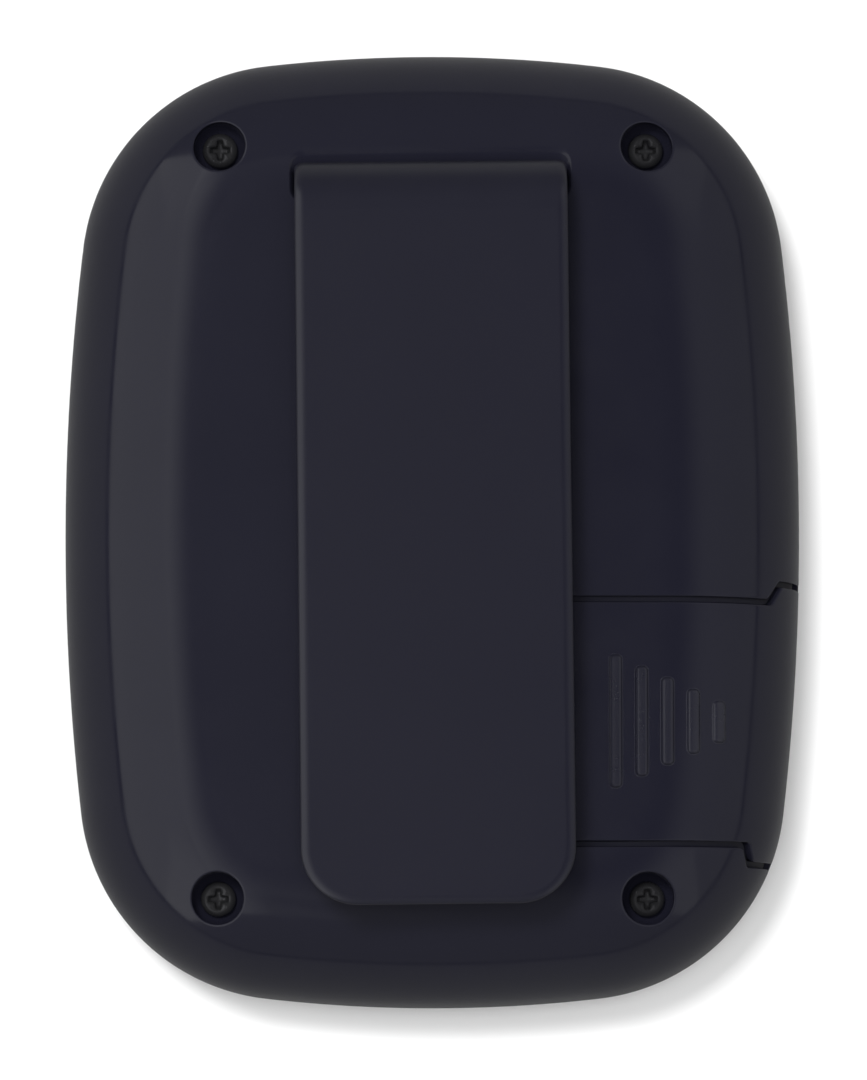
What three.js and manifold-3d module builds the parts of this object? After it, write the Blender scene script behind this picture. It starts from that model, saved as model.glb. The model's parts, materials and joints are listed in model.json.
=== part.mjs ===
// A pocket pager: a two-shell case with a belt clip, a sliding battery door, a display, three keys,
// and the electronics inside. Millimetres, +Z up. The pager lies on its front face, back and clip up,
// with the top of the display towards +Y. The origin is the middle of the front face's plane.

import * as THREE from "three";
import { mergeVertices } from "three/addons/utils/BufferGeometryUtils.js";
import Module from "manifold-3d";

const wasm = await Module();
wasm.setup();

// ---------------------------------------------------------------- driving dimensions

// case outline: two long sides, two ends and four corners, all arcs
const BODY_WIDTH = 67.5;
const BODY_LENGTH = 87.7;
const SIDE_ARC = 222;
const END_ARC = 133.5;
const CORNER_ARC = 19.2;

// case heights above the front face
const PARTING_Z = 9.5;
const BACK_Z = 23;
const REAR_SHOULDER = 13; // how far the rounded edge of the back reaches inwards
const FRONT_SHOULDER = 8;
const REAR_WALL = 1.8;
const FRONT_WALL = 2.2;
const GAP = 0.3; // the clearance between neighbouring pieces

// case screws
const SCREW_X = 19.4;
const SCREW_Y = 34.1;
const COUNTERBORE_R = 2.35;
const SCREW_SEAT_Z = 17.4;
const REAR_BOSS_R = 3.6;
const FRONT_BOSS_R = 2.6;
const BOSS_SPLIT_Z = 13.2;
const SCREW_HEAD_R = 1.6;
const SCREW_HEAD_H = 1.3;
const SCREW_SHANK_R = 0.95;
const SCREW_LENGTH = 9.4;

// battery door
const DOOR_Y = -18.2;
const DOOR_WIDTH = 22.4;
const DOOR_INNER_X = -11.5;
const DOOR_EAR = 1.75; // how much wider the door is at the side wall
const EAR_TOP_Z = 16.8;
const EAR_SLOPE = 1.5;
const RIB_COUNT = 5;
const RIB_FIRST_X = 16.45;
const RIB_PITCH = 2.33;
const RIB_WIDTH = 1.1;
const RIB_LONGEST = 12;
const RIB_SHORTER = 2.05; // each rib is this much shorter than the one before
const RIB_HEIGHT = 0.35;

// batteries and their tray
const CELL_R = 5.25;
const CELL_LENGTH = 44.5;
const CELL_X = -22.3; // the left end of both cells
const CELL_Z = 15.45;
const CELL_PITCH = 10.8;
const TRAY_FLOOR_Z = 9;
const TRAY_WALL = 1;
const TRAY_LEFT_X = -25.8;
const TRAY_RIGHT_X = 24;
const CONTACT_THICK = 0.4;
const LEAD_R = 0.45;

// belt clip
const CLIP_WIDTH = 24.5;
const CLIP_TOP_Y = 32.2;
const CLIP_TIP_Y = -34.9;
const CLIP_THICK = 2.2;
const CLIP_GAP = 5;
const CLIP_BEND_R = 5;
const CLIP_CORNER_R = 5.1;
const CLIP_FOOT_THICK = 2.8;
const CLIP_LEAN = 0.65; // in degrees: the clip sits slightly askew in its pocket
const CLIP_SHIFT = -0.25; // and slightly to one side
const CLIP_ROOT_Y = 31;
const POCKET_FLOOR_Z = 18.6;
const BARB_X = 7;
const BARB_TIP_Z = 16;

// display, on the front
const DISPLAY_Y = 10;
const WINDOW_SIZE = [41, 26];
const LENS_SIZE = [46, 31];
const LENS_FACE_Z = 0.3;
const LENS_TOP_Z = 1.5;
const LENS_POCKET_Z = 1.7;
const LCD_SIZE = [46, 30];
const LCD_Z = 2.6;
const LCD_GLASS = 0.9;

// circuit board
const BOARD_SIZE = [57, 62];
const BOARD_Z = 7.2;
const BOARD_THICK = 1.2;
const BOARD_TOP_Z = BOARD_Z + BOARD_THICK;

// keys
const KEY_Y = -15;
const KEY_PITCH = 15;
const KEY_SIZE = [10.6, 7.6];
const KEY_FACE_Z = 0.25;
const KEY_FLANGE_Z = 2.5;
const KEY_BACK_Z = 3.4;
const SWITCH_FACE_Z = 4;

// vibration motor
const MOTOR_R = 3;
const MOTOR_Y = 2;
const MOTOR_Z = 12.4;

// ---------------------------------------------------------------- materials

const finish = (color, roughness, metalness = 0) =>
  new THREE.MeshStandardMaterial({ color, roughness, metalness });
const GLOSS_BLACK = finish(0x25252f, 0.22);
const SATIN_BLACK = finish(0x292933, 0.45);
const BLACK_STEEL = finish(0x17181c, 0.35, 0.9);
const STEEL = finish(0xb9bcc0, 0.3, 1);
const GOLD = finish(0xc9a45a, 0.3, 1);
const CLEAR = finish(0x9aa6ad, 0.05);
const LCD_GREY = finish(0x9aa58f, 0.3);
const WHITE_PLASTIC = finish(0xe4e4df, 0.5);
const RUBBER = finish(0x2b2b30, 0.8);
const CONNECTOR_GREY = finish(0x6f6a72, 0.8);
const BOARD_GREEN = finish(0x1d5a35, 0.5);
const CHIP_BLACK = finish(0x1b1b1d, 0.5);
const CELL_JACKET = finish(0x2f4f8a, 0.35);
const RED = finish(0xb5282a, 0.45);

// ---------------------------------------------------------------- solid helpers

// A three.js geometry as a manifold-3d solid.
function solid(geometry) {
  const bare = new THREE.BufferGeometry().setAttribute("position", geometry.getAttribute("position"));
  bare.setIndex(geometry.index);
  const merged = mergeVertices(bare, 1e-4);
  return new wasm.Manifold(
    new wasm.Mesh({
      numProp: 3,
      vertProperties: new Float32Array(merged.attributes.position.array),
      triVerts: new Uint32Array(merged.index.array),
    }),
  );
}

// A manifold-3d solid as a three.js geometry.
function geometryOf(body) {
  const mesh = body.getMesh();
  const geometry = new THREE.BufferGeometry();
  geometry.setAttribute("position", new THREE.BufferAttribute(mesh.vertProperties, 3));
  geometry.setIndex(new THREE.BufferAttribute(mesh.triVerts, 1));
  geometry.computeVertexNormals();
  return geometry;
}

const join = (first, ...others) => others.reduce((sum, other) => sum.add(other), first);
const cut = (first, ...others) => others.reduce((rest, other) => rest.subtract(other), first);
const SIDES = [1, -1];

// A block between two values on each axis.
function block([x0, x1], [y0, y1], [z0, z1]) {
  const box = new THREE.BoxGeometry(x1 - x0, y1 - y0, z1 - z0);
  box.translate((x0 + x1) / 2, (y0 + y1) / 2, (z0 + z1) / 2);
  return solid(box);
}

// A shape drawn in X and Y, as thick as z0 to z1.
function plate(shape, z0, z1, curveSegments = 3) {
  const settings = { depth: z1 - z0, bevelEnabled: false, curveSegments };
  return solid(new THREE.ExtrudeGeometry(shape, settings).translate(0, 0, z0));
}

// A shape drawn in Y and Z, from x0 to x1.
function alongX(shape, x0, x1, curveSegments = 6) {
  const settings = { depth: x1 - x0, bevelEnabled: false, curveSegments };
  const geometry = new THREE.ExtrudeGeometry(shape, settings);
  const turn = new THREE.Matrix4();
  turn.makeBasis(new THREE.Vector3(0, 1, 0), new THREE.Vector3(0, 0, 1), new THREE.Vector3(1, 0, 0));
  return solid(geometry.applyMatrix4(turn).translate(x0, 0, 0));
}

// A round rod along Z.
function rod(radius, [x, y], z0, z1, segments = 14) {
  const geometry = new THREE.CylinderGeometry(radius, radius, z1 - z0, segments);
  return solid(geometry.rotateX(Math.PI / 2).translate(x, y, (z0 + z1) / 2));
}

// A body turned from a profile of [radius, height] points about an axis along +X through y and z.
function turnedAlongX(profile, [x, y, z], segments = 16) {
  const points = profile.map(([radius, height]) => new THREE.Vector2(radius, height));
  const geometry = new THREE.LatheGeometry(points, segments);
  return solid(geometry.rotateZ(-Math.PI / 2).translate(x, y, z));
}

// A rectangle with round corners, as a shape.
function roundedRectangle([width, height], [x, y], radius) {
  const [right, top] = [x + width / 2, y + height / 2];
  const [left, bottom] = [x - width / 2, y - height / 2];
  const shape = new THREE.Shape();
  shape.absarc(right - radius, top - radius, radius, 0, Math.PI / 2);
  shape.absarc(left + radius, top - radius, radius, Math.PI / 2, Math.PI);
  shape.absarc(left + radius, bottom + radius, radius, Math.PI, 1.5 * Math.PI);
  shape.absarc(right - radius, bottom + radius, radius, 1.5 * Math.PI, 2 * Math.PI);
  return shape;
}

// A flat frame: an outer rounded rectangle less an inner one, with the same corner radius.
function frameOf(outer, inner, centre, radius, z0, z1) {
  const hole = plate(roundedRectangle(inner, centre, radius), z0 - 1, z1 + 1, 3);
  return cut(plate(roundedRectangle(outer, centre, radius), z0, z1, 3), hole);
}

// ---------------------------------------------------------------- the case's outline and shells

// The centre of each corner arc touches the side arc and the end arc from inside: it is where a
// circle round each of their centres, smaller by the corner's radius, meets the other.
function cornerCentre() {
  const side = new THREE.Vector2(BODY_WIDTH / 2 - SIDE_ARC, 0);
  const end = new THREE.Vector2(0, BODY_LENGTH / 2 - END_ARC);
  const sideReach = SIDE_ARC - CORNER_ARC;
  const endReach = END_ARC - CORNER_ARC;
  const apart = side.distanceTo(end);
  const along = (sideReach ** 2 - endReach ** 2 + apart ** 2) / (2 * apart);
  const across = Math.sqrt(sideReach ** 2 - along ** 2);
  const direction = end.clone().sub(side).divideScalar(apart);
  return new THREE.Vector2(
    side.x + direction.x * along - direction.y * across,
    side.y + direction.y * along + direction.x * across,
  );
}

const CORNER = cornerCentre();
const SIDE_CENTRE_X = BODY_WIDTH / 2 - SIDE_ARC;
const END_CENTRE_Y = BODY_LENGTH / 2 - END_ARC;
const SIDE_ANGLE = Math.atan2(CORNER.y, CORNER.x - SIDE_CENTRE_X);
const END_ANGLE = Math.atan2(CORNER.y - END_CENTRE_Y, CORNER.x);

// The case's outline, moved inwards, as a ring of points that starts on the right side.
function outline(inset) {
  const half = Math.PI;
  const [side, end] = [SIDE_ANGLE, END_ANGLE];
  const arcs = [
    [SIDE_CENTRE_X, 0, SIDE_ARC, -side, side, 4],
    [CORNER.x, CORNER.y, CORNER_ARC, side, end, 6],
    [0, END_CENTRE_Y, END_ARC, end, half - end, 4],
    [-CORNER.x, CORNER.y, CORNER_ARC, half - end, half - side, 6],
    [-SIDE_CENTRE_X, 0, SIDE_ARC, half - side, half + side, 4],
    [-CORNER.x, -CORNER.y, CORNER_ARC, half + side, half + end, 6],
    [0, -END_CENTRE_Y, END_ARC, half + end, 2 * half - end, 4],
    [CORNER.x, -CORNER.y, CORNER_ARC, 2 * half - end, 2 * half - side, 6],
  ];
  return arcs.flatMap(([x, y, radius, from, to, steps]) => {
    const reach = radius - inset;
    const curve = new THREE.EllipseCurve(x, y, reach, reach, from, to);
    return curve.getPoints(steps).slice(0, -1);
  });
}

// A closed body through outlines of the case, from the lowest to the highest: [inset, height] pairs.
function loft(levels) {
  const rings = levels.map(([inset, z]) => outline(inset).map((p) => [p.x, p.y, z]));
  const count = rings[0].length;
  const faces = [];
  for (let level = 0; level < rings.length - 1; level++) {
    for (let i = 0; i < count; i++) {
      const here = level * count + i;
      const next = level * count + ((i + 1) % count);
      faces.push(here, next, next + count, here, next + count, here + count);
    }
  }
  const top = (rings.length - 1) * count;
  for (let i = 1; i < count - 1; i++) {
    faces.push(0, i + 1, i);
    faces.push(top, top + i, top + i + 1);
  }
  const geometry = new THREE.BufferGeometry();
  geometry.setAttribute("position", new THREE.Float32BufferAttribute(rings.flat(2), 3));
  geometry.setIndex(faces);
  return solid(geometry);
}

// Levels of a quarter ellipse, from the case's parting line to its back or front face.
function shoulderLevels(width, height, inset, steps = 6) {
  const levels = [];
  for (let step = 0; step <= steps; step++) {
    const angle = (step / steps) * (Math.PI / 2);
    levels.push([inset + width * (1 - Math.cos(angle)), height * Math.sin(angle)]);
  }
  return levels;
}

// The whole back half as a solid, its surface moved inwards, and reaching below the parting line.
function rearBody(inset, below = 0) {
  const levels = shoulderLevels(REAR_SHOULDER - inset, BACK_Z - PARTING_Z - inset, inset);
  const raised = levels.map(([d, rise]) => [d, PARTING_Z + rise]);
  return loft(below > 0 ? [[inset, PARTING_Z - below], ...raised] : raised);
}

// The whole front half as a solid, its surface moved inwards, and reaching above the parting line.
function frontBody(inset, above = 0) {
  const levels = shoulderLevels(FRONT_SHOULDER - inset, PARTING_Z - inset, inset);
  const lowered = levels.map(([d, drop]) => [d, PARTING_Z - drop]).reverse();
  return loft(above > 0 ? [...lowered, [inset, PARTING_Z + above]] : lowered);
}

const rearShell = cut(rearBody(0), rearBody(REAR_WALL, 1));

const screwSpots = [
  ["top_left", -SCREW_X, SCREW_Y],
  ["top_right", SCREW_X, SCREW_Y],
  ["bottom_left", -SCREW_X, -SCREW_Y],
  ["bottom_right", SCREW_X, -SCREW_Y],
];
const [UPPER_CELL_Y, LOWER_CELL_Y] = SIDES.map((side) => DOOR_Y + (side * CELL_PITCH) / 2);

// The space of the battery door: its outline from the side, stepped out over the side wall.
function doorSpace(gap) {
  const half = DOOR_WIDTH / 2 - gap;
  const eared = half + DOOR_EAR;
  const above = BACK_Z + 2;
  const shape = new THREE.Shape();
  shape.moveTo(DOOR_Y - eared, PARTING_Z + gap);
  shape.lineTo(DOOR_Y + eared, PARTING_Z + gap);
  shape.lineTo(DOOR_Y + eared, EAR_TOP_Z - gap);
  shape.lineTo(DOOR_Y + half, EAR_TOP_Z + EAR_SLOPE - gap);
  shape.lineTo(DOOR_Y + half, above);
  shape.lineTo(DOOR_Y - half, above);
  shape.lineTo(DOOR_Y - half, EAR_TOP_Z + EAR_SLOPE - gap);
  shape.lineTo(DOOR_Y - eared, EAR_TOP_Z - gap);
  return alongX(shape, DOOR_INNER_X + gap, BODY_WIDTH / 2 + 1);
}

// ---------------------------------------------------------------- case pieces

function rearCover() {
  const bosses = screwSpots.map(([, x, y]) =>
    rod(REAR_BOSS_R, [x, y], BOSS_SPLIT_Z + GAP, BACK_Z).intersect(rearBody(REAR_WALL / 2)),
  );
  const wells = screwSpots.map(([, x, y]) => rod(COUNTERBORE_R, [x, y], SCREW_SEAT_Z, BACK_Z + 1));
  const holes = screwSpots.map(([, x, y]) => rod(SCREW_SHANK_R + GAP, [x, y], 10, BACK_Z));
  const cover = join(rearShell, ...bosses, clipPocket(), ...doorLedges());
  return cut(cover, doorSpace(0), ...wells, ...holes, clipPocketSpace());
}

// The rails under the long edges of the door's lid, which stop it from sagging.
function doorLedges() {
  return SIDES.map((side) => {
    const edge = DOOR_Y + (side * DOOR_WIDTH) / 2;
    const strip = (from, to, z0, z1) => {
      const ys = [edge + side * from, edge + side * to].sort((a, b) => a - b);
      return block([DOOR_INNER_X, 20], ys, [z0, z1]);
    };
    const inner = BACK_Z - REAR_WALL;
    return join(strip(0, 0.9, inner - 1.6, inner + 0.4), strip(-1.4, 0.9, inner - 1.6, inner - GAP));
  });
}

// The walled pocket in the back that holds the clip's foot.
function clipPocket() {
  const half = CLIP_WIDTH / 2 + 2.1;
  return block([-half, half], [27.4, 34.9], [17.2, 22]).intersect(rearBody(REAR_WALL / 2));
}

// A block on the line of one of the clip's two barbs.
function barbBlock(side, width, ys, zs) {
  const x = side * BARB_X;
  return block([x - width / 2, x + width / 2], ys, zs);
}

function clipPocketSpace() {
  const half = CLIP_WIDTH / 2 + 0.7;
  const pocket = block([-half, half], [28.6, CLIP_TOP_Y + 1.1], [POCKET_FLOOR_Z, BACK_Z + 1]);
  const slots = SIDES.map((side) => barbBlock(side, 6, [29.8, 32.2], [16, 20]));
  return join(pocket, ...slots);
}

function frontCover() {
  const shell = cut(frontBody(0), frontBody(FRONT_WALL, 1));
  const caseBosses = screwSpots.map(([, x, y]) =>
    rod(FRONT_BOSS_R, [x, y], 1, BOSS_SPLIT_Z).intersect(
      frontBody(FRONT_WALL / 2, BOSS_SPLIT_Z - PARTING_Z),
    ),
  );
  const pilots = screwSpots.map(([, x, y]) => rod(SCREW_SHANK_R + GAP, [x, y], 4, BOSS_SPLIT_Z + 1, 14));
  const boardBosses = boardScrewSpots.map(([, x, y]) => rod(2, [x, y], 1.5, BOARD_Z, 14));
  const boardPilots = boardScrewSpots.map(([, x, y]) => rod(0.95, [x, y], 3, BOARD_Z + 1, 10));
  const holes = keySpots.map(([, x]) => keyPlate(GAP, x, -1, 4));
  const bodies = join(shell, seamLip(), ...caseBosses, ...boardBosses);
  const display = [
    plate(roundedRectangle(grown(LENS_SIZE, 2 * GAP), [0, DISPLAY_Y], 3), -1, LENS_POCKET_Z),
    plate(roundedRectangle(WINDOW_SIZE, [0, DISPLAY_Y], 1.5), 0, 5),
  ];
  const lamp = rod(LED_R + GAP, LED_SPOT, -1, 4, 14);
  return cut(bodies, ...pilots, ...boardPilots, ...holes, ...display, lamp, ...speakerSlots());
}

const grown = ([width, height], amount) => [width + amount, height + amount];
const LED_R = 1.4;
const LED_SPOT = [0, 29.6];
const boardScrewSpots = [
  ["upper_left", -26.4, 22],
  ["upper_right", 26.4, 22],
  ["lower_left", -22, -26.5],
  ["lower_right", 22, -26.5],
];
const keySpots = [
  ["left", -KEY_PITCH],
  ["middle", 0],
  ["right", KEY_PITCH],
];

// The thin wall that stands up inside the rear cover's edge and keeps the two covers in line.
function seamLip() {
  const [outer, inner] = [2.1, 3];
  const wall = cut(
    loft([
      [outer, 7.5],
      [outer, 10.8],
    ]),
    loft([
      [inner, 7],
      [inner, 11.5],
    ]),
  );
  const doorway = DOOR_WIDTH / 2 + DOOR_EAR + 0.4;
  return cut(wall, block([20, 40], [DOOR_Y - doorway, DOOR_Y + doorway], [PARTING_Z, 12]));
}

// Five upright slots in an oval outline, over the speaker.
function speakerSlots() {
  return [-2, -1, 0, 1, 2].map((place) => {
    const length = 9.6 - 1.1 * place ** 2;
    return plate(roundedRectangle([1.2, length], [3.2 * place, SPEAKER_Y], 0.55), -1, 4, 3);
  });
}

// ---------------------------------------------------------------- battery door, cells and contacts

function batteryDoor() {
  const lid = rearShell.intersect(doorSpace(GAP));
  const wall = block([24.9, 26.1], [DOOR_Y - 10.2, DOOR_Y + 10.2], [11.3, BACK_Z]);
  const contactWall = wall.intersect(rearBody(REAR_WALL / 2));
  const tongueTop = BACK_Z - REAR_WALL;
  const tongue = join(
    block([DOOR_INNER_X - 4, DOOR_INNER_X + 4], [DOOR_Y - 1.7, DOOR_Y + 1.7], [19.7, tongueTop - GAP]),
    block([DOOR_INNER_X + GAP, DOOR_INNER_X + 4], [DOOR_Y - 1.7, DOOR_Y + 1.7], [20, tongueTop + 0.4]),
  );
  const ribs = [];
  for (let rib = 0; rib < RIB_COUNT; rib++) {
    const length = RIB_LONGEST - rib * RIB_SHORTER;
    const centre = [RIB_FIRST_X + rib * RIB_PITCH, DOOR_Y];
    const column = plate(roundedRectangle([RIB_WIDTH, length], centre, 0.5), 18, BACK_Z + 1, 2);
    ribs.push(column.intersect(rearBody(-RIB_HEIGHT)).subtract(rearBody(REAR_WALL / 2)));
  }
  return join(lid, contactWall, tongue, ...ribs);
}

function batteryTray() {
  const half = DOOR_WIDTH / 2 + 0.6;
  const [low, high] = [DOOR_Y - half, DOOR_Y + half];
  const floor = block([TRAY_LEFT_X, TRAY_RIGHT_X], [low, high], [TRAY_FLOOR_Z, TRAY_FLOOR_Z + TRAY_WALL]);
  const sides = [low, high - TRAY_WALL].map((y) =>
    block([TRAY_LEFT_X, TRAY_RIGHT_X], [y, y + TRAY_WALL], [TRAY_FLOOR_Z, 17.5]),
  );
  const end = block([TRAY_LEFT_X, TRAY_LEFT_X + TRAY_WALL], [low, high], [TRAY_FLOOR_Z, 15.5]);
  const cradle = [UPPER_CELL_Y, LOWER_CELL_Y].map((y) =>
    turnedAlongX([[0, -60], [CELL_R + GAP, -60], [CELL_R + GAP, 60], [0, 60]], [0, y, CELL_Z], 24),
  );
  const bedLeft = TRAY_LEFT_X + 8;
  const beds = [bedLeft, TRAY_RIGHT_X - 8].map((x) => block([x, x + 2], [low, high], [TRAY_FLOOR_Z, 12]));
  const screwHoles = boardScrewSpots.slice(2).map(([, x, y]) => rod(2, [x, y], 8, 12, 12));
  return cut(join(floor, ...sides, end, cut(join(...beds), ...cradle)), ...screwHoles);
}

// A cell with its positive nub at the end that direction points to: 1 is right, -1 is left.
function cell(y, direction) {
  const nub = 0.8;
  const body = CELL_LENGTH - nub;
  const profile = [
    [0, 0],
    [CELL_R - 0.6, 0],
    [CELL_R, 0.5],
    [CELL_R, body - 0.7],
    [CELL_R - 0.8, body],
    [1.9, body],
    [1.9, CELL_LENGTH],
    [0, CELL_LENGTH],
  ];
  if (direction > 0) return turnedAlongX(profile, [CELL_X, y, CELL_Z]);
  const flipped = profile.map(([radius, height]) => [radius, CELL_LENGTH - height]).reverse();
  return turnedAlongX(flipped, [CELL_X, y, CELL_Z]);
}

// A cone-shaped coil spring along X, from its wide end to its narrow end.
class ConeCoil extends THREE.Curve {
  constructor(from, to, [y, z], turns) {
    super();
    Object.assign(this, { from, to, y, z, turns });
  }
  getPoint(t, target = new THREE.Vector3()) {
    const [wide, narrow] = [3.5, 2.2];
    const radius = wide + (narrow - wide) * t;
    const angle = t * this.turns * 2 * Math.PI;
    const x = this.from + (this.to - this.from) * t;
    return target.set(x, this.y + radius * Math.cos(angle), this.z + radius * Math.sin(angle));
  }
}

function tube(curve, radius, steps, sides) {
  const section = new THREE.Shape();
  section.absarc(0, 0, radius, 0, 2 * Math.PI);
  const points = section.getPoints(sides / 2).slice(0, sides);
  return new THREE.ExtrudeGeometry(new THREE.Shape(points), {
    steps,
    extrudePath: curve,
    bevelEnabled: false,
  });
}

function batterySpring(from, to, y) {
  return tube(new ConeCoil(from, to, [y, CELL_Z], 3), 0.25, 33, 6);
}

// The contact for the lower cell's positive nub, pressed out of its plate as a cup.
function positiveContact() {
  const left = TRAY_LEFT_X + TRAY_WALL + 0.1;
  const reach = CELL_X - 0.1 - left;
  const bump = [[0, 0], [2.2, 0], [2.2, CONTACT_THICK], [1.4, reach], [0, reach]];
  return join(contactPlate(LOWER_CELL_Y), turnedAlongX(bump, [left, LOWER_CELL_Y, CELL_Z]));
}

// The plate under the fixed spring.
const negativeContact = () => contactPlate(UPPER_CELL_Y);

// A flat contact on the tray's end wall, with a tab over the wall that takes a lead.
function contactPlate(y) {
  const left = TRAY_LEFT_X + TRAY_WALL + 0.1;
  const face = block([left, left + CONTACT_THICK], [y - 3.8, y + 3.8], [11, 19.4]);
  const tab = block([TRAY_LEFT_X - 1.8, left + CONTACT_THICK], [y - 0.8, y + 0.8], [15.8, 16.2]);
  return join(face, tab);
}

// The plate on the door that joins the two cells in series, with a bump for the positive nub.
function bridgeContact() {
  const right = 24.8;
  const reach = right - (CELL_X + CELL_LENGTH + 0.1);
  const bump = [[0, 0], [1.4, 0], [2.2, reach - CONTACT_THICK], [2.2, reach], [0, reach]];
  return join(
    block([right - CONTACT_THICK, right], [DOOR_Y - 9.2, DOOR_Y + 9.2], [11.6, 19.2]),
    turnedAlongX(bump, [right - reach, UPPER_CELL_Y, CELL_Z]),
  );
}

// An insulated lead: it drops from a contact's tab at y, runs beside the tray, away from it by
// as much as it has to, and ends on the board at end.
function lead(y, end, away) {
  const x = TRAY_LEFT_X - 1.3;
  const points = [
    [x, y, 15.2],
    [x, y + 0.3, 13.6],
    [x - away, y + 2.2, 11.6],
    [x - away, end - 3.4, 10.4],
    [x - away / 2, end - 1, 10],
    [x, end, 9],
  ];
  const curve = new THREE.CatmullRomCurve3(points.map((p) => new THREE.Vector3(...p)));
  return tube(curve, LEAD_R, 20, 6);
}

// ---------------------------------------------------------------- belt clip

function beltClip() {
  const under = BACK_Z + CLIP_GAP;
  const top = under + CLIP_THICK;
  const inner = CLIP_TOP_Y - CLIP_FOOT_THICK;
  const footZ = POCKET_FLOOR_Z + GAP;
  const bendInner = CLIP_BEND_R - CLIP_THICK;
  const side = new THREE.Shape();
  side.moveTo(CLIP_TOP_Y, footZ);
  side.lineTo(CLIP_TOP_Y, top - CLIP_BEND_R);
  side.absarc(CLIP_TOP_Y - CLIP_BEND_R, top - CLIP_BEND_R, CLIP_BEND_R, 0, Math.PI / 2);
  side.lineTo(CLIP_TIP_Y + 1.1, top);
  side.quadraticCurveTo(CLIP_TIP_Y, top, CLIP_TIP_Y, top - 1.1);
  side.lineTo(CLIP_TIP_Y + 0.6, under - 1.6);
  side.quadraticCurveTo(CLIP_TIP_Y + 1.4, under - 4.8, CLIP_TIP_Y + 3, under - 4.2);
  side.lineTo(CLIP_TIP_Y + 6.6, under);
  side.lineTo(inner - bendInner, under);
  side.absarc(inner - bendInner, under - bendInner, bendInner, Math.PI / 2, 0, true);
  side.lineTo(inner, footZ);
  const slab = alongX(side, -CLIP_WIDTH / 2, CLIP_WIDTH / 2, 5);
  const straight = join(slab.intersect(clipPlan(footZ, top)), ...clipBarbs(footZ));
  return straight
    .translate([0, -CLIP_ROOT_Y, 0])
    .rotate([0, 0, CLIP_LEAN])
    .translate([CLIP_SHIFT, CLIP_ROOT_Y, 0]);
}

// The clip seen from above: square at the root, round at the corners of its free end.
function clipPlan(from, to) {
  const half = CLIP_WIDTH / 2;
  const [r, top] = [CLIP_CORNER_R, 0.6];
  const plan = new THREE.Shape();
  plan.absarc(half - top, CLIP_TOP_Y - top, top, 0, Math.PI / 2);
  plan.absarc(-half + top, CLIP_TOP_Y - top, top, Math.PI / 2, Math.PI);
  plan.absarc(-half + r, CLIP_TIP_Y + r, r, Math.PI, 1.5 * Math.PI);
  plan.absarc(half - r, CLIP_TIP_Y + r, r, 1.5 * Math.PI, 2 * Math.PI);
  return plate(plan, from - 1, to + 1, 5);
}

// Two snap barbs that hold the foot in the pocket's floor.
function clipBarbs(footZ) {
  return SIDES.map((side) =>
    join(
      barbBlock(side, 5, [30.2, 31.6], [BARB_TIP_Z, footZ + 0.5]),
      barbBlock(side, 5, [31, 32.4], [BARB_TIP_Z, BARB_TIP_Z + 0.9]),
    ),
  );
}

// ---------------------------------------------------------------- screws

// A pan-head screw along Z with its tip down, its head's underside at z, and a cross recess.
function screw([x, y], z, headRadius, headHeight, shankRadius, length) {
  const profile = [
    [0, -length],
    [shankRadius * 0.4, -length],
    [shankRadius, -length + 1],
    [shankRadius, 0],
    [headRadius, 0],
    [headRadius, headHeight * 0.45],
    [headRadius * 0.72, headHeight * 0.9],
    [0, headHeight],
  ].map(([radius, height]) => new THREE.Vector2(radius, height));
  const body = solid(new THREE.LatheGeometry(profile, 12).rotateX(Math.PI / 2).translate(x, y, z));
  const reach = headRadius * 0.62;
  const width = headRadius * 0.15;
  const slot = (halfX, halfY) =>
    block([x - halfX, x + halfX], [y - halfY, y + halfY], [z + headHeight * 0.35, z + 2 * headHeight]);
  return cut(body, slot(reach, width), slot(width, reach));
}

// The same screw, turned so that its tip points away from the front: it is driven from behind.
const caseScrew = (spot) =>
  screw(spot, SCREW_SEAT_Z, SCREW_HEAD_R, SCREW_HEAD_H, SCREW_SHANK_R, SCREW_LENGTH);
const boardScrew = (spot) => screw(spot, BOARD_TOP_Z, 1.5, 0.9, 0.65, 4.6);

// ---------------------------------------------------------------- display, keys, sound and light

const SPEAKER_Y = -29;

const displayWindow = () =>
  plate(roundedRectangle(LENS_SIZE, [0, DISPLAY_Y], 2.7), LENS_FACE_Z, LENS_TOP_Z, 3);
const windowGasket = () =>
  frameOf(grown(LENS_SIZE, -1), grown(WINDOW_SIZE, 1), [0, DISPLAY_Y], 2.2, LENS_TOP_Z, LENS_POCKET_Z);

function glassSheet([width, height], z) {
  const [x, y] = [width / 2, height / 2];
  return block([-x, x], [DISPLAY_Y - y, DISPLAY_Y + y], [z, z + LCD_GLASS]);
}

function lcdConnector(side) {
  const y = DISPLAY_Y + side * (LCD_SIZE[1] / 2 - 1.1);
  return block([-20, 20], [y - 0.9, y + 0.9], [LCD_Z + 2 * LCD_GLASS, BOARD_Z]);
}

function backlight() {
  const z = LCD_Z + 2 * LCD_GLASS;
  const panel = plate(roundedRectangle([40, 24.4], [0, DISPLAY_Y], 1), z, z + 1.4, 2);
  const feet = SIDES.map((side) =>
    block([side * 17 - 1, side * 17 + 1], [DISPLAY_Y - 2, DISPLAY_Y + 2], [z + 1, BOARD_Z]),
  );
  return join(panel, ...feet);
}

// A key's rounded outline, grown by an amount, between two heights.
function keyPlate(amount, x, z0, z1) {
  const size = grown(KEY_SIZE, 2 * amount);
  return plate(roundedRectangle(size, [x, KEY_Y], size[1] / 2 - 0.01), z0, z1, 4);
}

// A key cap with its flange behind the cover and a stem over its switch.
const keyCap = (x) =>
  join(keyPlate(0, x, KEY_FACE_Z, KEY_BACK_Z), keyPlate(0.9, x, KEY_FLANGE_Z, KEY_BACK_Z));

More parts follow.
